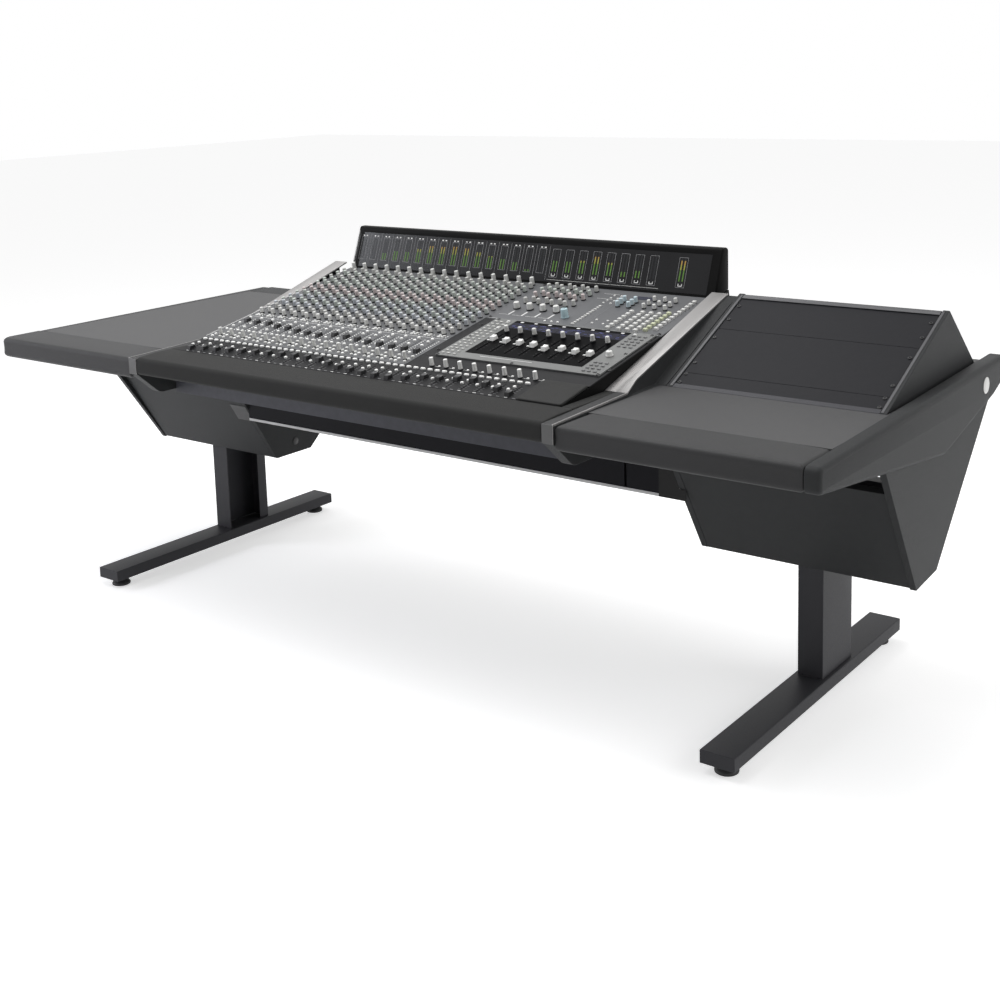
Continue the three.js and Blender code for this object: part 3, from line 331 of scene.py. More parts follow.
# The colour that a piece carries in its own tint attribute
def tintColour(tree):
    return addNode(tree, "Attribute", attribute_name="tint").outputs["Color"]


# How each kind of finish varies: the group of its grain, with the socket of its scale and the output that
# spreads its roughness, amount and scale of its tone's drift, how much lighter its edges are by wear and by a
# painted edge highlight, how far its roughness runs below and above the middle, and depth and strength of its
# bump
plain = dict(specular=0.5, metallic=0.0, sheen=0.0, anisotropic=0.0, worn=0.0, wornShare=0.5, depth=0.0)
kinds = dict(
    vinyl=dict(plain, group="pebbleGrain", socket="Cells", mask="Crease", drift=0.08, driftScale=2.2,
               worn=2.2, smoother=0.05, rougher=0.15, depth=0.00012, bump=0.6),
    coat=dict(plain, group="powderCoat", socket="Grain", mask="Speckle", drift=0.06, driftScale=3.0,
              worn=2.0, smoother=0.08, rougher=0.08, depth=0.00005, bump=0.5),
    brushed=dict(plain, group="brushedLines", socket="Across", grain=1500.0, mask="Height", metallic=0.85,
                 anisotropic=0.4, drift=0.05, driftScale=5.0, smoother=0.1, rougher=0.1, depth=0.00002,
                 bump=0.4),
    plastic=dict(plain, group="powderCoat", socket="Grain", grain=2600.0, mask="Speckle", drift=0.05,
                 driftScale=30.0, smoother=0.06, rougher=0.06, depth=0.00002, bump=0.3),
    # plastic in the colour of the piece's tint
    tinted=dict(plain, group="powderCoat", socket="Grain", grain=2600.0, mask="Speckle", drift=0.06,
                driftScale=40.0, smoother=0.06, rougher=0.06),
)


# A finish of one kind; changes are what it has otherwise
def finish(kind, name, colour, roughness, **changes):
    look = dict(kinds[kind], **changes)
    material, tree, shader = surface(name, colour, roughness, look["specular"], look["metallic"],
                                     look["sheen"], look["anisotropic"])
    grain = useGroup(tree, look["group"], **{look["socket"]: look["grain"]})
    base = tintColour(tree) if kind == "tinted" else (*colour, 1)
    tone = useGroup(tree, "toneDrift", Colour=base, Amount=look["drift"], Scale=look["driftScale"])["Colour"]
    # edges made lighter: patchy wear, and a painted highlight where light catches them
    if look["worn"]:
        lighter = [c * look["worn"] for c in colour]
        tone = useGroup(tree, "edgeWear", Colour=tone, Worn=(*lighter, 1), Amount=look["wornShare"])["Colour"]
    tree.links.new(tone, shader.inputs["Base Color"])
    spread(tree, shader, grain[look["mask"]], roughness - look["smoother"], roughness + look["rougher"])
    if look["depth"]:
        bump(tree, shader, grain["Height"], look["depth"], look["bump"])
    return material


lampLook = dict(colour=(0.005, 0.005, 0.005), roughness=0.3, specular=0.06, drift=0.3, driftScale=250.0)
glassLook = dict(drift=0.2, driftScale=4.0, smearScale=9.0, smearDetail=4.0, smootherShare=0.6,
                 rougherShare=1.6)


# Small lamps behind glass, in the colour of the piece's tint
def litSegment(name, strength):
    look = lampLook
    material, tree, shader = surface(name, look["colour"], look["roughness"], look["specular"])
    tint = tintColour(tree)
    soft = useGroup(tree, "toneDrift", Colour=tint, Amount=look["drift"], Scale=look["driftScale"])
    tree.links.new(soft["Colour"], shader.inputs["Emission Color"])
    shader.inputs["Emission Strength"].default_value = strength
    return material


def darkGlass(name, colour, roughness, specular):
    look = glassLook
    material, tree, shader = surface(name, colour, roughness, specular)
    tone = useGroup(tree, "toneDrift", Colour=(*colour, 1), Amount=look["drift"], Scale=look["driftScale"])
    tree.links.new(tone["Colour"], shader.inputs["Base Color"])
    smear = noiseNode(tree, look["smearScale"], look["smearDetail"])
    spread(tree, shader, smear, roughness * look["smootherShare"], roughness * look["rougherShare"])
    return material


paints = dict(
    steel=finish("coat", "powderBlack", (0.031, 0.031, 0.035), 0.5, grain=1400.0, specular=0.22),
    board=finish("vinyl", "boardVinyl", (0.030, 0.031, 0.032), 0.5, grain=1100.0, specular=0.13),
    darkVinyl=finish("vinyl", "darkVinyl", (0.014, 0.014, 0.0145), 0.55, grain=1100.0, specular=0.25),
    laminate=finish("vinyl", "deskLaminate", (0.048, 0.048, 0.049), 0.5, grain=1900.0, depth=0.00005,
                    specular=0.33),
    padding=finish("vinyl", "paddedVinyl", (0.032, 0.032, 0.033), 0.5, grain=620.0, depth=0.0002,
                   sheen=0.03, specular=0.2),
    armrestPad=finish("vinyl", "armrestLeather", (0.033, 0.033, 0.0325), 0.6, grain=620.0, depth=0.0002,
                      specular=0.06),
    darkLeather=finish("vinyl", "darkLeather", (0.012, 0.012, 0.0115), 0.55, grain=620.0, depth=0.0002,
                       specular=0.2),
    stripVinyl=finish("vinyl", "stripVinyl", (0.034, 0.034, 0.040), 0.45, grain=1500.0, depth=0.00005,
                      specular=0.25),
    silver=finish("brushed", "satinSilver", (0.35, 0.342, 0.338), 0.42),
    satin=finish("brushed", "satinGrey", (0.075, 0.075, 0.08), 0.5, metallic=0.2),
    capMetal=finish("brushed", "capMetal", (0.085, 0.085, 0.085), 0.45, metallic=0.4),
    # light grey and not metal: a painted highlight, the light caught along an edge
    bareEdge=finish("brushed", "bareEdge", (0.62, 0.62, 0.62), 0.5, metallic=0.0),
    rail=finish("coat", "railGrey", (0.042, 0.043, 0.051), 0.45, grain=1800.0, specular=0.2),
    # black steel like the legs, painted darker still: painted shade under the desk top
    apron=finish("coat", "apronBlack", (0.009, 0.009, 0.011), 0.5, grain=1400.0, specular=0.07),
    filler=finish("coat", "fillerBlack", (0.008, 0.008, 0.008), 0.6, grain=1400.0, specular=0.2),
    housing=finish("coat", "housingBlack", (0.005, 0.005, 0.005), 0.45, grain=1600.0, specular=0.05),
    panelGrey=finish("coat", "panelGrey", (0.105, 0.107, 0.112), 0.45, grain=2200.0, worn=1.5,
                     specular=0.25),
    panelDark=finish("coat", "panelBlack", (0.015, 0.015, 0.016), 0.5, grain=2200.0, specular=0.1),
    rackPanel=finish("coat", "rackPaint", (0.018, 0.018, 0.0205), 0.45, grain=2000.0, drift=0.04,
                     specular=0.07),
    rackRail=finish("coat", "rackRailPaint", (0.040, 0.040, 0.045), 0.45, grain=2000.0, specular=0.3),
    frameSilver=finish("brushed", "frameSilver", (0.16, 0.163, 0.16), 0.5, metallic=0.2),
    glass=darkGlass("screenGlass", (0.001, 0.001, 0.0015), 0.3, 0.015),
    bridgeGlass=darkGlass("meterGlass", (0.004, 0.004, 0.005), 0.24, 0.22),
    whiteCap=finish("plastic", "whiteCap", (0.76, 0.76, 0.74), 0.35),
    blackCap=finish("plastic", "blackCap", (0.010, 0.010, 0.011), 0.4),
    knobTint=finish("tinted", "knobCap", middleGrey[:3], 0.42),
    print=finish("tinted", "printedLine", middleGrey[:3], 0.6),
    blueKnob=finish("plastic", "paleBlueCap", (0.40, 0.54, 0.58), 0.35),
    rubber=finish("plastic", "footBlack", (0.010, 0.010, 0.011), 0.6),
    mark=finish("plastic", "printedMark", (0.55, 0.55, 0.54), 0.5),
    lit=litSegment("meterLight", 1.0),
)
print("materials made:", len(paints))


# Mesh helpers: shapes are worked out as whole arrays

# Links a closed mesh as a piece: faces is a list of index arrays, one array for each face size
def addPiece(name, verts, faces, materials, body="desk", tint=None, indices=None, smooth=None):
    mesh = bpy.data.meshes.new(name)
    mesh.from_pydata(np.asarray(verts).tolist(), [], [f for group in faces for f in group.tolist()])
    for material in materials:
        mesh.materials.append(material)
    if indices is not None:
        mesh.polygons.foreach_set("material_index", np.asarray(indices, np.int32))
    if tint is not None:
        layer = mesh.attributes.new("tint", "FLOAT_COLOR", "POINT")
        colours = np.concatenate([tint, np.ones((len(tint), 1))], 1)
        layer.data.foreach_set("color", colours.astype(np.float32).ravel())
    if smooth is not None:
        mesh.shade_smooth()
        mesh.set_sharp_from_angle(angle=radians(smooth))
    mesh.update()
    piece = bpy.data.objects.new(name, mesh)
    scene.collection.objects.link(piece)
    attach(piece, body)
    return piece


def faceOutwards(piece):
    bm = bmesh.new()
    bm.from_mesh(piece.data)
    bmesh.ops.recalc_face_normals(bm, faces=bm.faces)
    bm.to_mesh(piece.data)
    bm.free()


def softenEdges(piece, width, segments, angle=35.0):
    bevel = piece.modifiers.new("softEdge", "BEVEL")
    bevel.width = width
    bevel.segments = segments
    bevel.limit_method = "ANGLE"
    bevel.angle_limit = radians(angle)
    bevel.harden_normals = True


# Closed solid through rings (count, around, 3): quads between rings and one face on each end
def loft(rings):
    count, around = rings.shape[:2]
    k, j = np.meshgrid(np.arange(count - 1), np.arange(around), indexing="ij")
    a = k * around + j
    b = k * around + (j + 1) % around
    quads = np.stack([a, b, b + around, a + around], -1).reshape(-1, 4)
    ends = np.stack([np.arange(around)[::-1], (count - 1) * around + np.arange(around)])
    return rings.reshape(-1, 3), quads, ends


# Solid of revolution about z: each profile row (r, z) is a ring (r cos a, r sin a, z)
def turned(profile, sides):
    angle = np.arange(sides) * 2 * pi / sides
    r, z = np.array(profile, float).T
    rings = np.stack([r[:, None] * np.cos(angle), r[:, None] * np.sin(angle),
                      np.repeat(z[:, None], sides, 1)], -1)
    return loft(rings)


# Block about the origin in x and y, from base up to height, its top drawn in by ease
def boxed(width, length, base, height, ease=0.0):
    half = np.array([[-1, -1], [1, -1], [1, 1], [-1, 1]]) / 2
    sizes = [(width, length, base), (width, length, height - ease)]
    if ease:
        sizes.append((width - 2 * ease, length - 2 * ease, height))
    return loft(np.array([np.column_stack([half * (w, l), np.full(4, z)]) for w, l, z in sizes]))


# Copies of a part at each place (x, y, z)
def scattered(part, where):
    verts, quads, ends = part
    where = np.atleast_2d(np.array(where, float))
    step = np.arange(len(where))[:, None, None] * len(verts)
    allVerts = (verts[None] + where[:, None]).reshape(-1, 3)
    allQuads = (quads[None] + step).reshape(-1, 4)
    allEnds = (ends[None] + step).reshape(-1, ends.shape[1])
    return allVerts, allQuads, allEnds


# Several parts as one: verts, and lists of face arrays kept in order
def together(parts):
    verts, faces, start = [], [], 0
    for v, *groupsOfFaces in parts:
        verts.append(v)
        faces += [group + start for group in groupsOfFaces]
        start += len(v)
    return np.concatenate(verts), faces


# Grid of places (x, y, z), x by x
def places(xs, ys, z=0.0):
    x, y = np.meshgrid(np.atleast_1d(xs), np.atleast_1d(ys), indexing="ij")
    return np.stack([x.ravel(), y.ravel(), np.full(x.size, z)], 1)


# Flat plate from low to high with openings (x0, x1, y0, y1), on a grid through all their edges.
# Cells whose middle lies in an opening are left out, and walls close the plate beside them.
def gridPlate(x0, x1, y0, y1, low, high, openings=()):
    holes = np.array(openings, float).reshape(-1, 4)
    xs = np.unique(np.round(np.clip(np.concatenate([[x0, x1], holes[:, 0], holes[:, 1]]), x0, x1), 6))
    ys = np.unique(np.round(np.clip(np.concatenate([[y0, y1], holes[:, 2], holes[:, 3]]), y0, y1), 6))
    midX, midY = (xs[1:] + xs[:-1]) / 2, (ys[1:] + ys[:-1]) / 2
    kept = np.ones((len(midX), len(midY)), bool)
    for a, b, c, d in holes:
        kept &= ~(((midX > a) & (midX < b))[:, None] & ((midY > c) & (midY < d))[None])
    gx, gy = np.meshgrid(xs, ys, indexing="ij")
    verts = np.concatenate([np.stack([gx.ravel(), gy.ravel(), np.full(gx.size, z)], 1) for z in (low, high)])
    i, j = np.nonzero(kept)
    corner = i * len(ys) + j
    lower = np.stack([corner, corner + 1, corner + len(ys) + 1, corner + len(ys)], 1)
    padded = np.pad(kept, 1)
    faces = [lower, lower[:, ::-1] + gx.size]
    sides = [((-1, 0), (0, 1)), ((0, 1), (1, 2)), ((1, 0), (2, 3)), ((0, -1), (3, 0))]
    for (di, dj), (p, q) in sides:
        bare = ~padded[i + 1 + di, j + 1 + dj]
        a, b = lower[bare, p], lower[bare, q]
        faces.append(np.stack([a, b, b + gx.size, a + gx.size], 1))
    quads = np.concatenate(faces)
    used, compact = np.unique(quads, return_inverse=True)
    return verts[used], compact.reshape(quads.shape)


mending = dict(merge=0.00002, flat=0.4, segments=3, sharp=40.0)      # metres, and degrees between faces


# A copy of a node, merged and with its flat faces joined, so that its edges can be softened
def softenedNode(node, paint, width):
    source = frame["nodes"][node]
    piece = bpy.data.objects.new(node.replace("_", "") + "Soft", source.data.copy())
    piece.data.materials.clear()
    piece.data.materials.append(paint)
    bm = bmesh.new()
    bm.from_mesh(piece.data)
    bmesh.ops.remove_doubles(bm, verts=bm.verts, dist=mending["merge"])
    bmesh.ops.dissolve_limit(bm, angle_limit=radians(mending["flat"]), verts=bm.verts, edges=bm.edges)
    bmesh.ops.recalc_face_normals(bm, faces=bm.faces)
    bm.to_mesh(piece.data)
    bm.free()
    piece.data.polygons.foreach_set("material_index", np.zeros(len(piece.data.polygons), np.int32))
    piece.data.shade_smooth()
    piece.data.set_sharp_from_angle(angle=radians(mending["sharp"]))
    scene.collection.objects.link(piece)
    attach(piece, source["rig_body"])
    softenEdges(piece, width, mending["segments"], mending["sharp"])
    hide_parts(node)
    return piece


# Boards and sheet metal whose edges are eased: width of the eased edge in metres
easedEdges = dict(
    board=dict(edge=0.0014, nodes="arm_right side_panel_left side_panel_right pod_front_left "
               "pod_front_right pod_inner_side_left pod_inner_side_right cheek_left cheek_right "
               "rear_strip_left turret_side_left turret_side_right turret_back console_tray"),
    darkVinyl=dict(edge=0.0014, nodes="arm_left"),
    laminate=dict(edge=0.0008, nodes="side_top_left side_top_right"),
    steel=dict(edge=0.0009, nodes="foot_bar_left foot_bar_right leg_column_left leg_column_right "
               "rear_crossbeam"),
    apron=dict(edge=0.0009, nodes="apron_panel apron_end"),
    rackRail=dict(edge=0.0005, nodes="rack_rail_left rack_rail_right"),
    silver=dict(edge=0.0006, nodes="cheek_trim_left cheek_trim_right"),
    satin=dict(edge=0.0006, nodes="turret_top_strip"),
    stripVinyl=dict(edge=0.001, nodes="turret_bottom_strip"),
    rackPanel=dict(edge=0.0005, nodes="rack_panel_1u rack_panel_4u rack_panel_3u"),
    housing=dict(edge=0.0012, nodes="console_chassis meter_bridge"),
)
softened = {}
for paint, design in easedEdges.items():
    for node in design["nodes"].split():
        softened[node] = softenedNode(node, paints[paint], design["edge"])
print("boards and metalwork made")


# Cheek trims: dull front caps, dark tops in front of the bend with a bright line along their outer edge

trim = dict(
    bendY=-0.230, bendMargin=0.001, bendZ=0.7313, frontY=-0.513, frontZ=0.7233, outer=0.668,
    lineWidth=0.0028, lineHeight=0.0007, lineSink=0.0005, lineInset=0.0002, lineStart=0.001,
    upNormal=0.7, capNormal=-0.7,          # faces that look up are the top, and those to the front the cap
)


def makeTrims(design):
    for word, side in (("left", -1), ("right", 1)):
        piece = softened["cheek_trim_" + word]
        piece.data.materials.append(paints["capMetal"])
        piece.data.materials.append(paints["padding"])
        count = len(piece.data.polygons)
        centre = np.empty(count * 3)
        normal = np.empty(count * 3)
        piece.data.polygons.foreach_get("center", centre)
        piece.data.polygons.foreach_get("normal", normal)
        centre, normal = centre.reshape(-1, 3), normal.reshape(-1, 3)
        frontHalf = centre[:, 1] < design["bendY"] - design["bendMargin"]
        index = np.where(frontHalf & (normal[:, 2] > design["upNormal"]), 2, 0)
        index[frontHalf & (normal[:, 1] < design["capNormal"])] = 1
        piece.data.polygons.foreach_set("material_index", index.astype(np.int32))
        # Bright line: a flat bar from the front cap to the bend, on the trim's sloping top
        y0, y1 = design["frontY"] + design["lineStart"], design["bendY"]
        rise = (design["bendZ"] - design["frontZ"]) / (y1 - design["frontY"])
        xs = side * (design["outer"] - np.array([design["lineWidth"], design["lineInset"]]))
        rings = []
        for y in (y0, y1):
            z = design["frontZ"] + rise * (y - design["frontY"])
            under, over = z - design["lineSink"], z + design["lineHeight"]
            rings.append([(xs[0], y, under), (xs[1], y, under), (xs[1], y, over), (xs[0], y, over)])
        verts, quads, ends = loft(np.array(rings))
        line = addPiece("trimLine" + word.capitalize(), verts, [quads, ends], [paints["silver"]])
        faceOutwards(line)


makeTrims(trim)


# Padded pieces: an outline in plan, drawn in over a rounded rim and crowned on top

# Rounded rectangle, anticlockwise from the front left: radii of the four corners
def planOutline(x0, x1, y0, y1, radii, steps=10):
    centres = [(x0, y0, 1, 1, pi), (x1, y0, -1, 1, 1.5 * pi), (x1, y1, -1, -1, 0), (x0, y1, 1, -1, 0.5 * pi)]
    corners = []
    for (x, y, sx, sy, start), radius in zip(centres, radii):
        angle = start + np.linspace(0, pi / 2, steps)
        corners.append(np.stack([x + sx * radius + radius * np.cos(angle),
                                 y + sy * radius + radius * np.sin(angle)], 1))
    return np.concatenate(corners)


# Closed outline with points no further apart than spacing
def evened(points, spacing):
    ahead = np.roll(points, -1, 0)
    counts = np.maximum(1, np.ceil(np.linalg.norm(ahead - points, axis=1) / spacing).astype(int))
    runs = [p + (q - p) * np.arange(n)[:, None] / n for p, q, n in zip(points, ahead, counts)]
    return np.concatenate(runs)


padRings = dict(quarter=7, side=9, cover=14)         # rings on a rim, on the side and across the top
padFinish = dict(fill=0.95, sharp=60)                # share filled with foam, and degrees at sharp edges


# Rings of a pad: the outline moves in by rim over a quarter circle at the bottom and top, and then runs
# in to the middle, where the top is higher by crown; its sides pull in by drawIn at half height.
# still is the side that stays upright, from -1 to 1 along x and y: 0 draws in both sides alike
def padSurface(outline, low, high, rim, crown, drawIn, still=(0, 0)):
    still = np.array(still, float)
    half = (outline.max(0) - outline.min(0)) / 2
    middle = (outline.min(0) + outline.max(0)) / 2 + still * half
    half = half * (1 + np.abs(still))
    quarter = np.linspace(0, pi / 2, padRings["quarter"])
    side = np.linspace(0, 1, padRings["side"])[1:-1]
    inwards = [1 - np.sin(quarter), np.sin(pi * side) * drawIn / rim, 1 - np.cos(quarter)]
    heights = [low + rim * (1 - np.cos(quarter)),
               np.linspace(low + rim, high - crown - rim, padRings["side"])[1:-1],
               high - crown - rim + rim * np.sin(quarter)]
    inward = np.concatenate(inwards) * rim
    height = np.concatenate(heights)
    scale = 1 - inward[:, None] / half[None]
    rings = middle + (outline[None] - middle) * scale[:, None]
    rings = np.concatenate([rings, np.repeat(height[:, None, None], len(outline), 1)], 2)
    inner = np.linspace(1, 0, padRings["cover"])[1:-1]
    top = rings[-1][None].copy().repeat(len(inner), 0)
    top[..., :2] = middle + (rings[-1][None, :, :2] - middle) * inner[:, None, None]
    top[..., 2] += crown * (1 - inner ** 4)[:, None]
    bottom = rings[0][None].copy().repeat(len(inner), 0)
    bottom[..., :2] = middle + (rings[0][None, :, :2] - middle) * inner[::-1, None, None]
    return np.concatenate([bottom, rings, top])


def addPad(name, rings, paint, node):
    verts, quads, ends = loft(rings)
    pad = addPiece(name, verts, [quads, ends], [paints[paint]], smooth=padFinish["sharp"])
    faceOutwards(pad)
    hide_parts(node)


bolsters = dict(
    bolsterPadLeft=dict(node="bolster_left", corners=(0.026, 0.003, 0.002, 0.002)),
    bolsterPadRight=dict(node="bolster_right", corners=(0.003, 0.003, 0.002, 0.002)),
)
bolsterShape = dict(rim=0.011, crown=0.0012, drawIn=0.0006, spacing=0.012)


def makeBolsters(shape):
    for name, design in bolsters.items():
        low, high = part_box(design["node"])
        outline = evened(planOutline(low.x, high.x, low.y, high.y, design["corners"]), shape["spacing"])
        rings = padSurface(outline, low.z, high.z, shape["rim"], shape["crown"], shape["drawIn"], (0, 1))
        addPad(name, rings, "padding", design["node"])


makeBolsters(bolsterShape)

# Console panels lie in one inclined plane: x to the right, s up the slope, n out of it
console = dict(frontY=-0.398, frontZ=0.730, slope=11.0, halfWidth=0.609, thickness=0.003)
consoleSlope = radians(console["slope"])
plateLow = -console["thickness"]


# Points (x, s, n) of the console's plane, turned by its slope about its front edge
def onConsole(points):
    x, s, n = np.asarray(points).reshape(-1, 3).T
    return np.stack([x, console["frontY"] + s * cos(consoleSlope) - n * sin(consoleSlope),
                     console["frontZ"] + s * sin(consoleSlope) + n * cos(consoleSlope)], 1)


# Place (x, s) of the middle of a node that stands on the console
def seatOf(node):
    low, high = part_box(node)
    middle = (low + high) / 2
    y, z = middle.y - console["frontY"], middle.z - console["frontZ"]
    return middle.x, y * cos(consoleSlope) + z * sin(consoleSlope)


armrest = dict(
    rim=0.012, crown=0.0015, rearDrop=0.0006, endRim=0.004, frontDip=0.004, rearLean=0.0097, seam=0.0006,
    arcSteps=8, topSteps=14, lengthSteps=60, endMargin=0.01,
    # the returns at its ends, which run back beside the console
    gap=0.0004, corner=0.001, depth=0.016, proud=0.0005, returnRim=0.003, returnCrown=0.0006,
    returnDrawIn=0.0003, spacing=0.01,
)


# Armrest: its side outline, with rounded front edges and a crowned top, carried along X
def makeArmrest(design):
    low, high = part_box("centre_armrest")
    rim = design["rim"]
    frontTop = high.z - design["frontDip"]
    frontY, rearTopY = low.y, console["frontY"] - design["seam"]
    quarter = np.linspace(0, pi / 2, design["arcSteps"])
    arcY = frontY + rim - rim * np.cos(quarter)
    lowerArc = np.stack([arcY[::-1], low.z + rim - rim * np.sin(quarter[::-1])], 1)
    upperArc = np.stack([arcY, frontTop - rim + rim * np.sin(quarter)], 1)
    across = np.linspace(0, 1, design["topSteps"])[1:]
    topY = frontY + rim + (rearTopY - frontY - rim) * across
    crown = design["crown"] * np.sin(pi * across)
    topZ = frontTop + (high.z - frontTop - design["rearDrop"]) * across + crown
    rear = [[rearTopY + design["rearLean"], low.z]]
    outline = np.concatenate([rear, lowerArc, upperArc, np.stack([topY, topZ], 1)])
    middle = outline.mean(0)
    # Sections along it: drawn in over a quarter circle at each end
    span, margin, steps = high.x - low.x, design["endMargin"], design["lengthSteps"]
    endAlong = design["endRim"] * (1 - np.cos(quarter))
    endDrawn = design["endRim"] * (1 - np.sin(quarter))
    along = np.concatenate([endAlong, np.linspace(margin, span - margin, steps), span - endAlong[::-1]])
    drawn = np.concatenate([endDrawn, np.zeros(steps), endDrawn[::-1]])
    towards = outline - middle
    unit = towards / np.linalg.norm(towards, axis=1)[:, None]
    section = outline[None] - unit[None] * drawn[:, None, None]
    xs = np.repeat((low.x + along)[:, None, None], len(outline), 1)
    addPad("armrestPad", np.concatenate([xs, section], 2), "armrestPad", "centre_armrest")
    # Return beside each end of the console, up to the bend of the cheek
    edge = console["halfWidth"] + design["gap"]
    for word, x0, x1 in (("Left", low.x, -edge), ("Right", edge, high.x)):
        outline = planOutline(x0, x1, rearTopY + design["gap"], high.y, [design["corner"]] * 4, 4)
        outline = evened(outline, design["spacing"])
        rings = padSurface(outline, high.z - design["depth"], high.z + design["proud"], design["returnRim"],
                           design["returnCrown"], design["returnDrawIn"])
        addPad("armrestReturn" + word, rings, "armrestPad", "centre_armrest")


makeArmrest(armrest)
print("padded pieces made")


# Small parts of the console

tints = dict(
    white=(0.86, 0.86, 0.84), light=(0.68, 0.68, 0.66), grey=(0.54, 0.54, 0.52), green=(0.49, 0.53, 0.49),
    blue=(0.49, 0.515, 0.55), red=(0.57, 0.50, 0.49), paleBlue=(0.52, 0.62, 0.66), yellow=(0.60, 0.63, 0.44),
    printed=(0.26, 0.26, 0.265), dim=(0.16, 0.16, 0.165), shade=(0.05, 0.05, 0.052),
    black=(0.010, 0.010, 0.011), line=(0.66, 0.66, 0.65), nightBlue=(0.010, 0.012, 0.030),
    # lit from behind: the screen's band, strokes and cells, and the meters
    screenBand=(0.004, 0.004, 0.018), screenStroke=(0.10, 0.11, 0.32), screenCell=(0.95, 0.95, 0.95),
    meterGreen=(0.11, 0.22, 0.05), meterAmber=(0.34, 0.33, 0.07), meterOrange=(0.42, 0.26, 0.07),
    meterOff=(0.035, 0.037, 0.04),
)


# Groups (part, places, tint) from rows (part, x, s, n, tint): the part at every x and s, raised by n.
# With several starts, x counts from each of them
def groupsFrom(rows, starts=0.0):
    return [(part, places(np.add(starts, x), s, n), tints[tint]) for part, x, s, n, tint in rows]


# One piece from groups (part, places, tint or tints), coloured by its tint attribute
def tintedField(name, parts, paint="knobTint", plane=onConsole, body="desk", smooth=35):
    copies, colours = [], []
    for part, where, tint in parts:
        where = np.atleast_2d(np.asarray(where, float))
        copies.append(scattered(part, where))
        each = np.broadcast_to(np.asarray(tint, float), (len(where), 3))
        colours.append(np.repeat(each, len(part[0]), 0))
    verts, faces = together(copies)
    piece = addPiece(name, plane(verts), faces, [paints[paint]], body, np.concatenate(colours),
                     smooth=smooth)
    faceOutwards(piece)
    return piece


def flatPlate(name, x0, x1, s0, s1, paint, slot, node, openings=(), low=plateLow, high=0.0, ease=0.0005):
    verts, quads = gridPlate(x0, x1, s0, s1, low, high, openings)
    plate = addPiece(name, onConsole(verts), [quads], [paints[paint]])
    faceOutwards(plate)
    softenEdges(plate, ease, 2)
    if node:
        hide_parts(node)


# Openings (x0, x1, s0, s1) of slots along s, one at each x
def slotsAt(xs, width, start, end):
    return [(x - width / 2, x + width / 2, start, end) for x in xs]


knobShape = dict(collar=0.0066, collarHeight=0.0028, foot=0.0056, step=0.0004, top=0.0050, ease=0.0007)


# Turned knob: dark collar below, cap with an eased top above
def knobPart(scale, height, sides):
    k = knobShape
    collar, foot, top = (k[size] * scale for size in ("collar", "foot", "top"))
    return turned([(collar, plateLow / 2), (collar, k["collarHeight"]), (foot, k["collarHeight"] + k["step"]),
                   (top, height - k["ease"]), (top - k["ease"], height)], sides)


# Material of each face of the knobs: collar 0, cap 1 and the pointer's stripe 2
def knobFaces(count, sides):
    quads = np.repeat([0, 0, 1, 1], sides)
    quads[[2 * sides, 3 * sides]] = 2
    return np.concatenate([np.tile(quads, count), np.tile([0, 1], count)])


def knobField(name, where, tint, scale, height, sides):
    part = knobPart(scale, height, sides)
    where = np.atleast_2d(np.asarray(where, float))
    verts, faces = together([scattered(part, where)])
    colours = np.repeat(np.broadcast_to(np.asarray(tint, float), (len(where), 3)), len(part[0]), 0)
    piece = addPiece(name, onConsole(verts), faces, [paints["blackCap"], paints["knobTint"], paints["mark"]],
                     "desk", colours, knobFaces(len(where), sides), 35)
    faceOutwards(piece)


# Fields of knobs from rows (name, xs, rows, tint, scale, height, sides)
def knobFields(fields):
    for name, xs, rows, tint, scale, height, sides in fields:
        knobField(name, places(xs, rows), tints[tint], scale, height, sides)


capShape = dict(eased=0.0008, land=0.001, dip=0.0012, taper=0.0025)


# Fader cap: its side outline, dipped in the middle of the top, carried across x
def faderCapPart(width, length, height=0.010, base=plateLow / 2):
    eased, land, dip, taper = (capShape[size] for size in ("eased", "land", "dip", "taper"))
    end = length / 2
    outline = np.array([[-end, base], [end, base], [end - taper, height - eased],
                        [end - taper - land, height], [dip, height - taper / 2], [-dip, height - taper / 2],
                        [-end + taper + land, height], [-end + taper, height - eased]])
    middle = np.array([0.0, (base + height) / 2])
    drawn = 1 - eased / end
    rings = []
    side = width / 2
    for x, share in ((-side, drawn), (-side + eased, 1), (side - eased, 1), (side, drawn)):
        rings.append(np.column_stack([np.full(len(outline), x), middle + (outline - middle) * share]))
    return loft(np.array(rings))


markShape = dict(sink=0.0004, height=0.0003, thinSink=0.0002, thinHeight=0.0002)


# Printed line or mark on a face: width by length, sunk in a little
def markPart(width, length, height=markShape["height"]):
    return boxed(width, length, -markShape["sink"], height)


# The same on the screen and the meters, where it lies shallower
def thinMark(width, length, height=markShape["thinHeight"], ease=0.0):
    return boxed(width, length, -markShape["thinSink"], height, ease)


ovalKey = dict(halfX=0.0068, halfY=0.0035, corner=0.0034, steps=4,
               sections=[(0, plateLow / 2), (0, 0.0030), (0.0009, 0.0042)])      # drawn in, height


def ovalPart(design):
    x, y, corner, steps = (design[size] for size in ("halfX", "halfY", "corner", "steps"))
    rings = [np.column_stack([planOutline(-x + e, x - e, -y + e, y - e, [corner - e] * 4, steps),
                              np.full(4 * steps, z)]) for e, z in design["sections"]]
    return loft(np.array(rings))


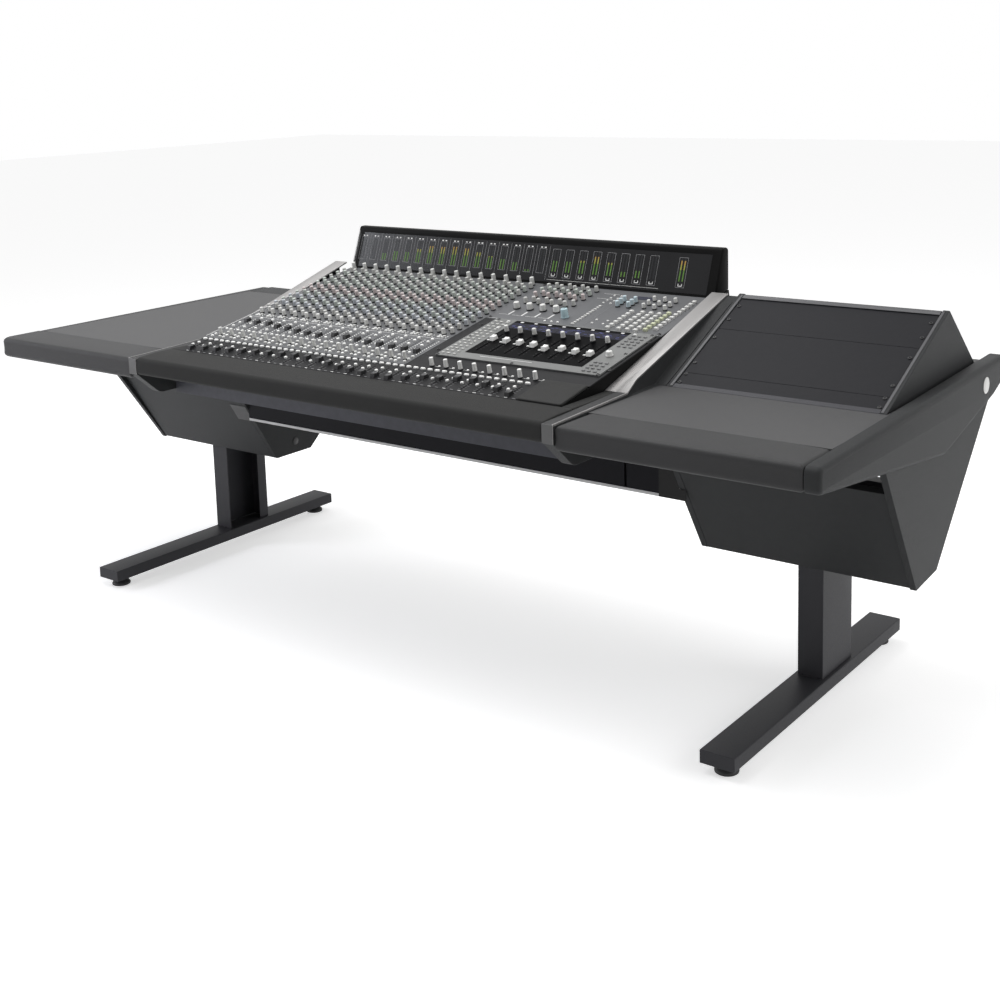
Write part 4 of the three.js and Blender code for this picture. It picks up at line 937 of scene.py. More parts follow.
# Profiles (radius, height) of round parts, and blocks (width, length, base, height, ease)
stud = turned([(0.0032, plateLow / 2), (0.0032, 0.0018), (0.0025, 0.0026)], 10)
capStud = turned([(0.0042, plateLow / 2), (0.0042, 0.0034), (0.0034, 0.0044)], 10)
dot = turned([(0.0018, plateLow / 2), (0.0018, 0.0008), (0.0012, 0.0013)], 8)
screwHead = turned([(0.0046, -0.001), (0.0046, 0.0016), (0.0038, 0.0023), (0.0022, 0.0023),
                    (0.0020, 0.0008)], 12)
key = boxed(0.0075, 0.0050, plateLow / 2, 0.0032, 0.0007)
capKey = boxed(0.0100, 0.0090, plateLow / 2, 0.0068, 0.0010)
oval = ovalPart(ovalKey)

# Middles of the strips: those of the channel panel, and all of the fader panel
halfWidth = console["halfWidth"]
strip = dict(count=16, mainCount=25, pitch=0.0432, border=0.011)
firstStrip = -halfWidth + strip["border"] + strip["pitch"] / 2
stripX = firstStrip + strip["pitch"] * np.arange(strip["count"])
mainX = firstStrip + strip["pitch"] * np.arange(strip["mainCount"])


# Channel panel: knobs in two columns per strip, short faders with lamps beside them, rows of keys

channel = dict(
    right=0.095, front=0.0953, rear=0.681,
    # cap colours from the front row to the rear one
    rowTints="light grey blue green blue green red red green green grey green grey".split(),
    firstRow=0.288, rowPitch=0.0284, staggerShare=0.4, leftColumn=-0.0095, rightColumn=0.0098,
    # share by which the right column's caps are darker than the left's: painted shade
    rightShade=0.94, knobHeight=0.0165, knobSides=10,
    knobs=[
        ("channelTallKnobs", stripX - 0.002, 0.664, "light", 1.15, 0.023, 12),
        ("channelFrontKnobs", stripX + 0.003, 0.122, "light", 0.95, 0.021, 12),
    ],
    faderRow=0.150, faderTravel=0.070, capStart=0.010, slotWidth=0.0022, slotPast=0.020,
    faderShares=[0.9, 0.82, 0.86, 0.7, 0.64, 0.52, 0.44, 0.4, 0.6, 0.56, 0.48, 0.36, 0.3, 0.24, 0.2, 0.14],
    capWidth=0.012, capLength=0.020, capLine=(0.0115, 0.0016, 0.0075, 0.0094),
    # part, x from the strip's middle, s, n, tint
    small=[
        (dot, 0.0118, 0.154 + 0.0078 * np.arange(12), 0, "white"),
        (capStud, -0.0135, [0.137, 0.158, 0.182, 0.206, 0.230, 0.247], 0, "white"),
        (capStud, -0.0135, [0.105, 0.118], 0, "white"),
        (capStud, 0.014, [0.107, 0.122, 0.138], 0, "light"),
        (key, -0.011, [0.2675, 0.2760], 0, "white"),
        (key, 0.001, [0.2675, 0.2760], 0, "light"),
        (dot, 0.012, [0.2675, 0.2760], 0, "white"),
    ],
    lineWidth=0.0006, lineHeight=0.0002, lineInset=0.001, seam=0.2595, seamWidth=0.0014,
)


def makeChannelPanel(design):
    front, rear, edge = design["front"], design["rear"], design["right"]
    slotEnd = design["faderRow"] + design["faderTravel"] + design["slotPast"]
    flatPlate("channelPlate", -halfWidth, edge, front, rear, "panelGrey", "panel_grey", "channel_panel",
              slotsAt(stripX, design["slotWidth"], design["faderRow"], slotEnd))
    rows = design["firstRow"] + design["rowPitch"] * np.arange(len(design["rowTints"]))
    left = places(stripX + design["leftColumn"], rows)
    right = places(stripX + design["rightColumn"], rows + design["rowPitch"] * design["staggerShare"])
    both = np.tile(np.array([tints[word] for word in design["rowTints"]]), (len(stripX), 1))
    # the same caps in the right column, painted darker: painted shade
    colours = np.concatenate([both, both * design["rightShade"]])
    knobField("channelKnobs", np.concatenate([left, right]), colours, 1.0, design["knobHeight"],
              design["knobSides"])
    knobFields(design["knobs"])
    capS = design["faderRow"] + design["capStart"] + np.array(design["faderShares"]) * design["faderTravel"]
    caps = np.column_stack([stripX, capS, np.zeros(len(stripX))])
    inset = design["lineInset"]
    separator = markPart(design["lineWidth"], rear - front - 2 * inset, design["lineHeight"])
    seam = markPart(edge + halfWidth - 2 * inset, design["seamWidth"])
    tintedField("channelSmallParts", [
        (faderCapPart(design["capWidth"], design["capLength"]), caps, tints["black"]),
        (boxed(*design["capLine"]), caps, tints["dim"]),
        *groupsFrom(design["small"], stripX),
        (separator, places(stripX + strip["pitch"] / 2, (rear + front) / 2), tints["dim"]),
        (seam, [((edge - halfWidth) / 2, design["seam"], 0)], tints["line"]),
    ])


makeChannelPanel(channel)
print("channel panel made")


# Fader panel: along the front, and up beside the channel panel and round the leather pad

tallX = 0.171 + 0.0427 * np.arange(8)                # middles of the tall knobs behind the caps
fader = dict(
    rear=0.0922, sideRear=0.1598, sideLeft=0.0962, padLeft=0.4902, padRear=0.1103, past=0.001,
    row=0.0125, travel=0.046,
    shares=[0.11, 0.27, 0.34, 0.44, 0.55, 0.66, 0.75, 0.83, 0.89, 0.88, 0.86, 0.58, 0.34, 0.20, 0.08, 0.02,
            0.0, 0.23, 0.59, 0.64, 0.92, 1.0, 0.78, 0.47, 0.11],
    capWidth=0.013, capLength=0.021, capLine=(0.0125, 0.0014, 0.0075, 0.0094),
    slotWidth=0.0020, slotStart=0.010, slotEnd=0.066,
    ovalRow=0.0825, ovalPitch=0.0216, ovalLeft=0.016, ovalRight=0.012,
    # part, x from the strip's middle, s, n, tint
    small=[
        (capStud, -0.0122, 0.0560, 0, "white"),
        (capStud, -0.0180, 0.0400, 0, "white"),
        (markPart(0.0085, 0.0022), 0, 0.0045, 0, "line"),
        (markPart(0.0085, 0.0022), strip["pitch"] / 2, 0.0045, 0, "dim"),
    ],
    besideTall=[
        (stud, 0.02135, 0.107, 0, "white"),
        (markPart(0.0150, 0.0010), 0.0130, 0.107, 0, "line"),
    ],
    ticks=[
        (markPart(0.0065, 0.0007, 0.0002), 0.0062, 0.014 + 0.0085 * np.arange(6), 0, "dim"),
        (markPart(0.0065, 0.0007, 0.0002), -0.0062, 0.014 + 0.0085 * np.arange(6), 0, "dim"),
    ],
    knobs=[("faderTallKnobs", tallX, 0.107, "white", 1.0, 0.0215, 12)],
)


def makeFaderPanel(design):
    past = design["past"]
    slotX = mainX[mainX < design["padLeft"]]
    away = [(design["padLeft"], halfWidth + past, -past, design["padRear"]),
            (-halfWidth - past, design["sideLeft"], design["rear"], design["sideRear"] + past)]
    slots = slotsAt(slotX, design["slotWidth"], design["slotStart"], design["slotEnd"])
    flatPlate("faderPlate", -halfWidth, halfWidth, 0.0, design["sideRear"], "panelDark", "panel_dark",
              "fader_panel", slots + away)
    capS = design["row"] + np.array(design["shares"]) * design["travel"]
    caps = np.column_stack([mainX, capS, np.zeros(len(mainX))])
    ovalX = np.arange(-halfWidth + design["ovalLeft"], design["padLeft"] - design["ovalRight"],
                      design["ovalPitch"])
    tintedField("faderSmallParts", [
        (faderCapPart(design["capWidth"], design["capLength"]), caps, tints["black"]),
        (boxed(*design["capLine"]), caps, tints["dim"]),
        (oval, places(ovalX, design["ovalRow"]), tints["white"]),
        *groupsFrom(design["small"], mainX),
        *groupsFrom(design["besideTall"], tallX),
        *groupsFrom(design["ticks"], mainX),
    ])
    knobFields(design["knobs"])


makeFaderPanel(fader)


# Leather pad at the right of the faders

leather = dict(x0=0.4905, x1=0.6088, s0=0.0004, s1=0.1096, low=-0.003, high=0.005, rim=0.0032, crown=0.0008,
               drawIn=0.0002, corner=0.008, steps=8, spacing=0.008)


def makeLeatherPad(design):
    outline = planOutline(design["x0"], design["x1"], design["s0"], design["s1"], [design["corner"]] * 4,
                          design["steps"])
    rings = padSurface(evened(outline, design["spacing"]), design["low"], design["high"], design["rim"],
                       design["crown"], design["drawIn"])
    addPad("leatherPad", onConsole(rings.reshape(-1, 3)).reshape(rings.shape), "darkLeather", "leather_pad")


makeLeatherPad(leather)
print("fader panel and pad made")


# Master panel: knob columns, wide knobs with light dashes in front, a line of keys and blocks of keys

columnX = 0.138 + 0.041 * np.arange(4)
master = dict(
    left=0.0953, front=0.4183, rear=0.681,
    rows=np.array([0.537, 0.582, 0.613, 0.645]), rowTints=["grey", "red", "green", "grey"],
    secondColumn=0.0185, secondRow=0.011, knobHeight=0.0165, knobSides=12,
    knobs=[
        ("masterWideKnobs", columnX, 0.497, "light", 1.5, 0.018, 16),
        ("talkKnobs", [0.396, 0.428], [0.571, 0.589, 0.607], "paleBlue", 1.0, 0.0165, 12),
        ("masterSmallKnobs", [0.470, 0.500, 0.530], [0.575, 0.600, 0.628], "light", 0.9, 0.014, 10),
    ],
    # part, x, s, n, tint
    small=[
        (key, 0.3505, 0.4345 + 0.0115 * np.arange(12), 0, "light"),
        (stud, [0.396, 0.428], [0.452, 0.474], 0, "light"),
        (capKey, [0.4555, 0.4865, 0.5105, 0.5330], 0.4300 + 0.0185 * np.arange(7), 0, "light"),
        (capKey, 0.5545, 0.4400 + 0.0185 * np.arange(7), 0, "yellow"),
        (capKey, 0.577, 0.452 + 0.0185 * np.arange(11), 0, "light"),
        (markPart(0.060, 0.020, 0.0006), 0.430, 0.640, 0, "nightBlue"),
        (stud, [0.268, 0.288, 0.306], 0.4345, 0, "white"),
        (stud, [0.345, 0.366], 0.585 + 0.018 * np.arange(4), 0, "light"),
        (markPart(0.0045, 0.028), columnX + 0.004, 0.466, 0, "line"),
        (markPart(0.026, 0.0011), columnX - 0.012, 0.452, 0, "line"),
        (markPart(0.046, 0.0011), 0.330, [0.615, 0.650], 0, "line"),
        (markPart(0.0011, 0.20), [0.380, 0.446], 0.540, 0, "dim"),
        (markPart(0.50, 0.0011), 0.352, 0.4222, 0, "line"),
        (screwHead, [0.104, 0.600], [0.427, 0.672], 0, "black"),
    ],
)


def makeMasterPanel(design):
    flatPlate("masterPlate", design["left"], halfWidth, design["front"], design["rear"], "panelGrey",
              "panel_grey", "master_panel")
    rows = design["rows"]
    first = places(columnX, rows)
    second = places(columnX + design["secondColumn"], rows + design["secondRow"])
    both = np.tile(np.array([tints[word] for word in design["rowTints"]]), (2 * len(columnX), 1))
    knobField("masterKnobs", np.concatenate([first, second]), both, 1.0, design["knobHeight"],
              design["knobSides"])
    knobFields(design["knobs"])
    tintedField("masterSmallParts", groupsFrom(design["small"]))


makeMasterPanel(master)
print("master panel made")


# Controller: dark surround, light frame round a dark screen with slots, knobs, faders and lamps

sideRows = 0.176 + 0.0165 * np.arange(14)
controller = dict(
    # plates (x0, x1, s0, s1)
    surround=(0.0953, 0.609, 0.1603, 0.4178), ledge=0.006,
    frame=(0.135, 0.600, 0.1633, 0.415), frameHeight=0.004, frameEase=0.0007,
    screen=(0.2, 0.535, 0.195, 0.411), screenLow=0.0003, screenHigh=0.0033, gap=0.0003, screenEase=0.0003,
    slotWidth=0.003, slotStart=0.214, slotEnd=0.3236,
    knobRow=0.339, knobScale=1.05, knobHeight=0.017, knobSides=12,
    bandStart=0.362, bandEnd=0.398, bandInset=0.0105, bandPitch=0.02095, bandTiles=16, tileWidth=0.0200,
    tileHeight=0.0001,
    strokes=60, strokeSeed=7, strokeSize=(0.0090, 0.0014, 0.0001), strokeInset=0.012, strokeMargin=0.003,
    strokeRise=0.0001, cell=(0.0085, 0.0048, 0.0004), lampRow=0.4045,
    besideX=-0.0125, besideS=-0.006, besideKey=(0.006, 0.0045, 0.0022, 0.0005),
    tick=(0.0035, 0.0006), tickX=(0.0072, -0.0072), tickRows=0.224 + 0.011 * np.arange(9),
    # part, x, s, n, tint
    small=[
        (key, [0.150, 0.166, 0.184], sideRows, 0.0035, "grey"),
        (key, [0.552, 0.566, 0.582], sideRows[:4], 0.0035, "dim"),
        (key, [0.552, 0.568, 0.584], sideRows[9:], 0.0035, "dim"),
        (thinMark(0.012, 0.0007), [0.158, 0.175], sideRows + 0.006, 0.004, "dim"),
        (key, 0.184, [0.352, 0.398], 0.0042, "white"),
        (key, 0.552, 0.398, 0.0042, "white"),
        (thinMark(0.150, 0.0016), 0.330, 0.1835, 0.004, "line"),
        (screwHead, [0.140, 0.360, 0.595], 0.1675, 0.003, "shade"),
        (screwHead, [0.146, 0.592], [0.290, 0.408], 0.003, "shade"),
        (screwHead, [0.115, 0.6045], [0.200, 0.372], 0, "black"),
    ],
    stem=(0.002, 0.009, -0.004, 0.0050), capWidth=0.0125, capLength=0.020, capHeight=0.0105, capBase=0.0002,
    faders=8,
)


# Dark surround, and the light frame on it
def makeControllerFrame(design):
    x0, x1, s0, s1 = design["screen"]
    ledge, gap = design["ledge"], design["gap"]
    flatPlate("controllerSurround", *design["surround"], "panelDark", "silver", "controller_frame",
              [(x0 + ledge, x1 - ledge, s0 + ledge, s1 - ledge)])
    flatPlate("controllerRim", *design["frame"], "frameSilver", "silver", None,
              [(x0 - gap, x1 + gap, s0 - gap, s1 + gap)], 0.0, design["frameHeight"], design["frameEase"])


# What the screen shows: a dark blue band with strokes in it, and a row of bright cells
def makeScreenLights(design, xs):
    x0, x1 = design["screen"][:2]
    start, end, top = design["bandStart"], design["bandEnd"], design["screenHigh"]
    tile = thinMark(design["tileWidth"], end - start, design["tileHeight"])
    tiles = places(x0 + design["bandInset"] + design["bandPitch"] * np.arange(design["bandTiles"]),
                   (start + end) / 2, top)
    rng = np.random.default_rng(design["strokeSeed"])
    inset, margin, count = design["strokeInset"], design["strokeMargin"], design["strokes"]
    strokes = np.column_stack([rng.uniform(x0 + inset, x1 - inset, count),
                               rng.uniform(start + margin, end - margin, count),
                               np.full(count, top + design["strokeRise"])])
    tintedField("screenLights", [
        (tile, tiles, tints["screenBand"]),
        (thinMark(*design["strokeSize"]), strokes, tints["screenStroke"]),
        (thinMark(*design["cell"]), places(xs, design["lampRow"], top), tints["screenCell"]),
    ], paint="lit")


def makeController(design):
    makeControllerFrame(design)
    nodes = ["controller_fader_%d" % (i + 1) for i in range(design["faders"])]
    seats = np.array([seatOf(node) for node in nodes])
    xs, top = seats[:, 0], design["screenHigh"]
    slots = slotsAt(xs, design["slotWidth"], design["slotStart"], design["slotEnd"])
    flatPlate("screenPane", *design["screen"], "glass", "screen", "controller_screen", slots,
              design["screenLow"], top, design["screenEase"])
    knobField("screenKnobs", places(xs, design["knobRow"], top), tints["light"], design["knobScale"],
              design["knobHeight"], design["knobSides"])
    makeScreenLights(design, xs)
    beside = np.column_stack([seats + [design["besideX"], design["besideS"]], np.full(len(nodes), top)])
    ticks = np.concatenate([places(xs + x, design["tickRows"], top) for x in design["tickX"]])
    tintedField("controllerSmallParts", [
        (thinMark(*design["besideKey"]), beside, tints["white"]),
        (thinMark(*design["tick"]), ticks, tints["shade"]),
        *groupsFrom(design["small"]),
    ])
    stem = boxed(*design["stem"])
    cap = faderCapPart(design["capWidth"], design["capLength"], design["capHeight"], design["capBase"])
    for node, (x, s) in zip(nodes, seats):
        part = tintedField(node.replace("_", "") + "Cap", [
            (cap, [(x, s, top + design["capBase"])], tints["white"]), (stem, [(x, s, 0)], tints["black"]),
        ], body=node)
        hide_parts(node)


makeController(controller)


# The two turning knobs: eased grips with a pointer's line, and a shaft below the panel

turningKnobs = dict(
    monitorKnob=dict(node="monitor_knob", seat=0.0003, radius=0.0102, top=0.0088, height=0.024,
                     paint="blueKnob", slot="blue_knob"),
    jogKnob=dict(node="jog_knob", seat=0.0043, radius=0.0086, top=0.0074, height=0.0165, paint="whiteCap",
                 slot="cap"),
)
gripShape = dict(
    ease=0.0006, rim=0.003, waist=0.0036, waistInset=0.0008, shoulder=0.0018, crown=0.0005, sides=48,
    shaft=0.003, shaftLow=-0.0095, shaftRise=0.001, shaftSides=16,
    pointerWidth=0.0012, pointerShare=0.8, pointerPlaceShare=0.45, pointerRise=0.0002,
)


def makeTurningKnobs(shape):
    ease, shoulder, rise = shape["ease"], shape["shoulder"], shape["pointerRise"]
    for name, design in turningKnobs.items():
        x, s = seatOf(design["node"])
        seat, r, top, high = (design[size] for size in ("seat", "radius", "top", "height"))
        grip = turned([(r - ease, seat), (r, seat + ease), (r, seat + shape["rim"]),
                       (r - shape["waistInset"], seat + shape["waist"]), (top, high - shoulder),
                       (top - ease, high - shape["crown"]), (top - shoulder, high)], shape["sides"])
        shaft = turned([(shape["shaft"], shape["shaftLow"]), (shape["shaft"], seat + shape["shaftRise"])],
                       shape["shaftSides"])
        pointer = boxed(shape["pointerWidth"], top * shape["pointerShare"], high - rise, high + rise)
        pointerS = s + top * shape["pointerPlaceShare"]
        verts, faces = together([scattered(grip, (x, s, 0)), scattered(shaft, (x, s, 0)),
                                 scattered(pointer, (x, pointerS, 0))])
        counts = [len(part[1]) + len(part[2]) for part in (grip, shaft, pointer)]
        piece = addPiece(name, onConsole(verts), faces, [paints[design["paint"]], paints["blackCap"]],
                         design["node"], None, np.repeat([0, 1, 1], counts), 35)
        faceOutwards(piece)
        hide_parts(design["node"])


makeTurningKnobs(gripShape)
print("controller made")


# Meter bridge: markings and lit bars on the glass, in its own plane: x, v up the face, w out of it

bridge = dict(foot=0.6813, footLow=-0.003, lean=31.7, paneLow=0.009, paneHigh=0.112, paneHalf=0.583,
              paneBack=0.0001, pane=0.0006, line=0.0008, endLine=(0.0013, 0.112, 0.0008),
              endPlace=(-0.6035, 0.060, 0))
bridgeLean = radians(bridge["lean"])


def onBridge(points):
    x, v, w = np.asarray(points).reshape(-1, 3).T
    s = bridge["foot"] + v * sin(bridgeLean) - w * cos(bridgeLean)
    n = bridge["footLow"] + v * cos(bridgeLean) + w * sin(bridgeLean)
    return onConsole(np.stack([x, s, n], 1))


# Thin rectangular outline from v0 to v1
def meterFrame(width, v0, v1):
    line, sink, height = bridge["line"], markShape["thinSink"], markShape["thinHeight"]
    hole = (-width / 2 + line, width / 2 - line, v0 + line, v1 - line)
    verts, quads = gridPlate(-width / 2, width / 2, v0, v1, -sink, height, [hole])
    return verts, quads, np.zeros((0, 4), int)


# Meters of the strips, and the wide ones with a single one at their right
wideX = np.append(0.117 + 0.0433 * np.arange(8), 0.505)
separatorX = np.append(stripX - strip["pitch"] / 2, stripX[-1] + strip["pitch"] / 2)
meters = dict(
    narrowLevels=[0.0, 0.0, 0.30, 0.45, 0.45, 0.62, 0.80, 0.82, 0.86, 0.84, 0.66, 0.56, 0.45, 0.35, 0.08,
                  0.0],
    wideLevels=[0.5, 0.5, 0.6, 0.8, 0.6, 0.25, 0.3, 0.0, 0.9],
    narrowSpan=(0.033, 0.095), wideSpan=(0.038, 0.097),      # v of the lamps
    rows=22, barOffset=0.0048, lamp=(0.0034, 0.0022, 0.0003), unlit=(0.0034, 0.0014),
    amberFrom=0.5, orangeFrom=0.75,
    # part, x, v, w, tint
    markings=[
        (meterFrame(0.0235, 0.031, 0.099), stripX, 0, bridge["pane"], "printed"),
        (meterFrame(0.0255, 0.022, 0.100), wideX, 0, bridge["pane"], "printed"),
        (thinMark(0.0007, 0.094), separatorX, 0.061, bridge["pane"], "printed"),
        (thinMark(0.0055, 0.0028, 0.0003), stripX - 0.006, 0.1025, bridge["pane"], "white"),
        (thinMark(0.0055, 0.0028, 0.0003), stripX + 0.006, 0.1025, bridge["pane"], "white"),
        (thinMark(0.010, 0.0016, 0.0003), wideX, 0.026, bridge["pane"], "white"),
        (thinMark(0.0016, 0.006, 0.0003), wideX - 0.005, 0.029, bridge["pane"], "white"),
        (thinMark(0.0016, 0.006, 0.0003), wideX + 0.005, 0.029, bridge["pane"], "white"),
        (thinMark(0.345, 0.0009), 0.272, 0.0155, bridge["pane"], "grey"),
    ],
)


# Rows of lamps in the two bars of each meter. They are lit up to its level, green below and amber and orange
# above, and unlit over it
def meterLamps(xs, levels, span, design):
    shares = (np.arange(design["rows"]) + 0.5) / design["rows"]
    amber, orange = design["amberFrom"], design["orangeFrom"]
    lit, colours, unlit = [], [], []
    for x, level in zip(xs, levels):
        for offset in (-design["barOffset"], design["barOffset"]):
            for share in shares:
                place = (x + offset, span[0] + (span[1] - span[0]) * share, bridge["pane"])
                if share < level:
                    word = "Green" if share < amber else "Amber" if share < orange else "Orange"
                    lit.append(place)
                    colours.append(tints["meter" + word])
                else:
                    unlit.append(place)
    return lit, colours, unlit


def makeMeterPane(design):
    verts, quads = gridPlate(-design["paneHalf"], design["paneHalf"], design["paneLow"], design["paneHigh"],
                             design["paneBack"], design["pane"])
    pane = addPiece("meterPane", onBridge(verts), [quads], [paints["bridgeGlass"]])
    faceOutwards(pane)
    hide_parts("meter_glass")
    tintedField("bridgeEndLine", [(thinMark(*design["endLine"]), [design["endPlace"]], tints["line"])],
                plane=onBridge)


def makeMeters(design):
    tintedField("meterMarkings", groupsFrom(design["markings"]), paint="print", plane=onBridge,
                smooth=None)
    narrow = meterLamps(stripX, design["narrowLevels"], design["narrowSpan"], design)
    wide = meterLamps(wideX, design["wideLevels"], design["wideSpan"], design)
    lit, colours, unlit = (first + second for first, second in zip(narrow, wide))
    tintedField("meterLamps", [
        (thinMark(*design["lamp"]), lit, colours),
        (thinMark(*design["unlit"]), unlit, tints["meterOff"]),
    ], paint="lit", plane=onBridge, smooth=None)


makeMeterPane(bridge)
makeMeters(meters)
print("meters made")


# Rack turret: screws and satin strips, in the plane of its face: x, u up the face, w out of it

rack = dict(
    left=0.685, frontY=-0.095, baseZ=0.7223, slope=24.4, recess=-0.002, unit=0.04445, border=0.0152,
    panelLeft=0.0157, panelRight=0.4983, screwInset=0.008,
    # whole units below the screws' row, and its rise in metres from there
    screwRows=[(0, 0.00635), (0, 0.0381), (1, 0.0381), (1, 0.1397), (5, 0.0381), (5, 0.09525)],
    sink=0.0005, proud=0.0008,
    # name, x0, x1, u0, u1
    frame=[("rackFrameLeft", 0.0080, 0.0140, 0.004, 0.3790),
           ("rackFrameRight", 0.5000, 0.5060, 0.004, 0.3790),
           ("rackFrameTop", 0.0157, 0.4983, 0.3645, 0.3800)],
)


def onRack(points):
    x, u, w = np.asarray(points).reshape(-1, 3).T
    slope = radians(rack["slope"])
    return np.stack([rack["left"] + x, rack["frontY"] + u * cos(slope) - w * sin(slope),
                     rack["baseZ"] + u * sin(slope) + w * cos(slope)], 1)


def makeRackScrews(design):
    rows = np.array([units * design["unit"] + rise for units, rise in design["screwRows"]])
    where = places([design["panelLeft"] + design["screwInset"], design["panelRight"] - design["screwInset"]],
                   design["border"] + rows, design["recess"])
    tintedField("rackScrews", [(screwHead, where, tints["black"])], plane=onRack)


makeRackScrews(rack)


# Small pieces of the boards and legs

# Square bar between two corners, in metres
def barPart(low, high, ease):
    size = np.subtract(high, low)
    middle = np.add(high, low) / 2
    return scattered(boxed(size[0], size[1], 0, size[2], ease), (middle[0], middle[1], low[2]))


def addBar(name, paint, low, high, ease=0.0003, plane=None):
    verts, faces = together([barPart(low, high, ease)])
    piece = addPiece(name, plane(verts) if plane else verts, faces, [paints[paint]])
    faceOutwards(piece)
    return piece


# Satin strips around the rack's opening: one along each side board, and one over the top strip
def makeRackFrame(design):
    for name, x0, x1, u0, u1 in design["frame"]:
        addBar(name, "satin", (x0, u0, -design["sink"]), (x1, u1, design["proud"]), plane=onRack)


makeRackFrame(rack)

# Discs that lie against a face on the right: place (y, z) and the x of the face
discs = dict(
    armDisc=dict(radius=0.019, thickness=0.0012, place=(0.372, 0.695, 1.245), paint="whiteCap", slot="cap"),
    fastenerCap=dict(radius=0.011, thickness=0.0016, place=(0.101, 0.353, -0.707), paint="blackCap",
                     slot="board"),
)
discShape = dict(sink=0.001, edgeShare=0.6, easeShare=0.5, sides=48)


# Points (x, y, z) of a disc drawn about z, laid against a face that looks along +X
def facingRight(points):
    x, y, z = np.asarray(points).reshape(-1, 3).T
    return np.stack([z, x, y], 1)


def makeDiscs(shape):
    for name, design in discs.items():
        r, t = design["radius"], design["thickness"]
        disc = turned([(r, -shape["sink"]), (r, t * shape["edgeShare"]), (r - t * shape["easeShare"], t)],
                      shape["sides"])
        verts, faces = together([scattered(disc, design["place"])])
        piece = addPiece(name, facingRight(verts), faces, [paints[design["paint"]]],
                         smooth=40)
        faceOutwards(piece)


makeDiscs(discShape)

# Apron: a painted highlight as a light line along its foot, backing of its joint, and fillers up to the box
# at the right
apron = dict(
    lineY=-0.0776, lineZ=0.4562, lineWidth=0.0011, lineHeight=0.0070, lineStart=0.002, endShare=0.62,
    jointReach=0.012, jointFront=0.0125, jointBack=0.0145, jointFoot=0.0008, jointTop=0.006,
    coverFront=0.0012, gap=0.0001, gussetFront=0.0013, gussetWidth=0.018, gussetHeight=0.026,
)


def makeApronParts(design):
    low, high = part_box("apron_panel")
    endLow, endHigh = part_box("apron_end")
    endX = endLow.x + design["endShare"] * (endHigh.x - endLow.x)
    y, width, back = design["lineY"], design["lineWidth"], endLow.y - design["gap"]
    addBar("apronLine", "bareEdge", (low.x + design["lineStart"], y - width / 2, design["lineZ"]),
           (endX, y + width / 2, design["lineZ"] + design["lineHeight"]))
    addBar("apronJoint", "filler",
           (high.x - design["jointReach"], low.y + design["jointFront"], low.z + design["jointFoot"]),
           (endLow.x + design["jointReach"], low.y + design["jointBack"], high.z - design["jointTop"]))
    addBar("apronCover", "filler", (endX, endLow.y - design["coverFront"], endLow.z),
           (endHigh.x, back, endHigh.z))
    addBar("apronGusset", "filler",
           (endHigh.x + design["gap"], endLow.y - design["gussetFront"], endLow.z),
           (endHigh.x + design["gussetWidth"], back, endLow.z + design["gussetHeight"]))


makeApronParts(apron)

# Painted highlight along the edge of the console's left side, in its plane, and the dark seam in front of the
# left rear strip
consoleEdge = dict(x=-0.6078, start=0.100, end=0.440, width=0.0022, low=0.0001, high=0.0026)
rearSeam = dict(inset=0.002, width=0.0016, low=0.00005, high=0.00025, ease=0.00005)


def makeEdgeLines(edge, seam):
    x, width = edge["x"], edge["width"]
    addBar("consoleEdge", "bareEdge", (x - width / 2, edge["start"], edge["low"]),
           (x + width / 2, edge["end"], edge["high"]), plane=onConsole)
    low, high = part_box("rear_strip_left")
    addBar("rearSeam", "filler",
           (low.x + seam["inset"], low.y - seam["width"], high.z + seam["low"]),
           (high.x - seam["inset"], low.y, high.z + seam["high"]), seam["ease"])


makeEdgeLines(consoleEdge, rearSeam)

# Plate on the leaning front of the left pod, and the rail below the armrest, up to the tray
podPlate = dict(x0=-0.776, x1=-0.712, z0=0.447, z1=0.497, gap=0.0001, thickness=0.0012,
                frontY=0.024, lowZ=0.318, lean=-0.151 / 0.248)
rail = dict(rise=0.0135, ease=0.0010)


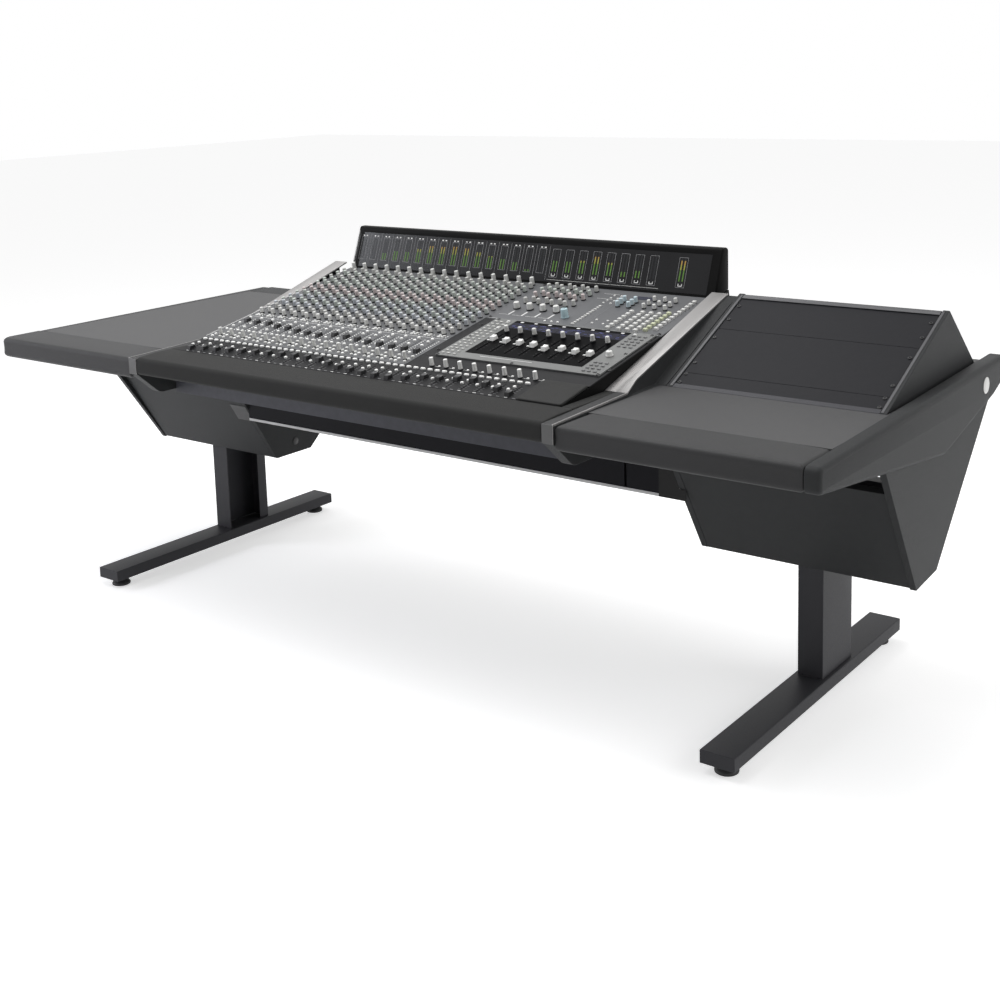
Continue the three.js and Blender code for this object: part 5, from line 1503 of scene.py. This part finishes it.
def makePodPlate(design):
    x0, x1, z0, z1, lean = (design[size] for size in ("x0", "x1", "z0", "z1", "lean"))
    inner = np.array([(x, design["frontY"] + lean * (z - design["lowZ"]), z)
                      for x, z in ((x0, z0), (x1, z0), (x1, z1), (x0, z1))])
    away = np.array([0.0, -1.0, lean]) / np.hypot(1.0, lean)
    verts, quads, ends = loft(np.array([inner + away * design["gap"], inner + away * design["thickness"]]))
    piece = addPiece("podPlate", verts, [quads, ends], [paints["laminate"]])
    faceOutwards(piece)


def makeRail(design):
    low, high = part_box("front_rail")
    top = (high.x, high.y, high.z + design["rise"])
    piece = addBar("railFace", "rail", low, top, design["ease"])
    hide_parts("front_rail")


makePodPlate(podPlate)
makeRail(rail)


# Levelling feet: moulded pad with a rounded shoulder, a neck with a lock nut and a threaded stem

feet = dict(
    profile=[(0.0240, 0.0), (0.0256, 0.0012), (0.0260, 0.0032), (0.0258, 0.0058), (0.0244, 0.0078),
             (0.0214, 0.0108), (0.0188, 0.0142), (0.0172, 0.0168), (0.0166, 0.0178), (0.0166, 0.0204),
             (0.0158, 0.0210), (0.0052, 0.0210)],
    stem=(0.0046, 0.0210, 0.0425), threadDepth=0.0004, threads=14, sides=40,
)


def makeFeet(design):
    radius, low, high = design["stem"]
    turns = np.arange(design["threads"] * 2 + 1)
    stem = [(radius - design["threadDepth"] * (k % 2), low + (high - low) * k / turns[-1]) for k in turns]
    shape = turned(design["profile"] + stem, design["sides"])
    for end in ("front", "rear"):
        for side in ("left", "right"):
            node = "levelling_foot_%s_%s" % (end, side)
            nodeLow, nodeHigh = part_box(node)
            middle = (nodeLow + nodeHigh) / 2
            verts, faces = together([scattered(shape, (middle.x, middle.y, 0))])
            name = "foot" + end.capitalize() + side.capitalize()
            piece = addPiece(name, verts, faces, [paints["rubber"]], node, smooth=40)
            faceOutwards(piece)
            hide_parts(node)


makeFeet(feet)
print("small pieces and feet made")

# CAD nodes that are still shown take a procedural finish
paintOf = dict(panel_grey="panelGrey", panel_dark="panelDark", rack_panel="rackPanel", screen="bridgeGlass",
               cap="whiteCap", blue_knob="blueKnob", foot="rubber")
slotOf = {row["node"]: row["material_slot"] for row in frame["record"]["subparts"]}
for name, node in frame["nodes"].items():
    if not node.hide_render:
        node.data.materials.clear()
        node.data.materials.append(paints[paintOf.get(slotOf[name], slotOf[name])])
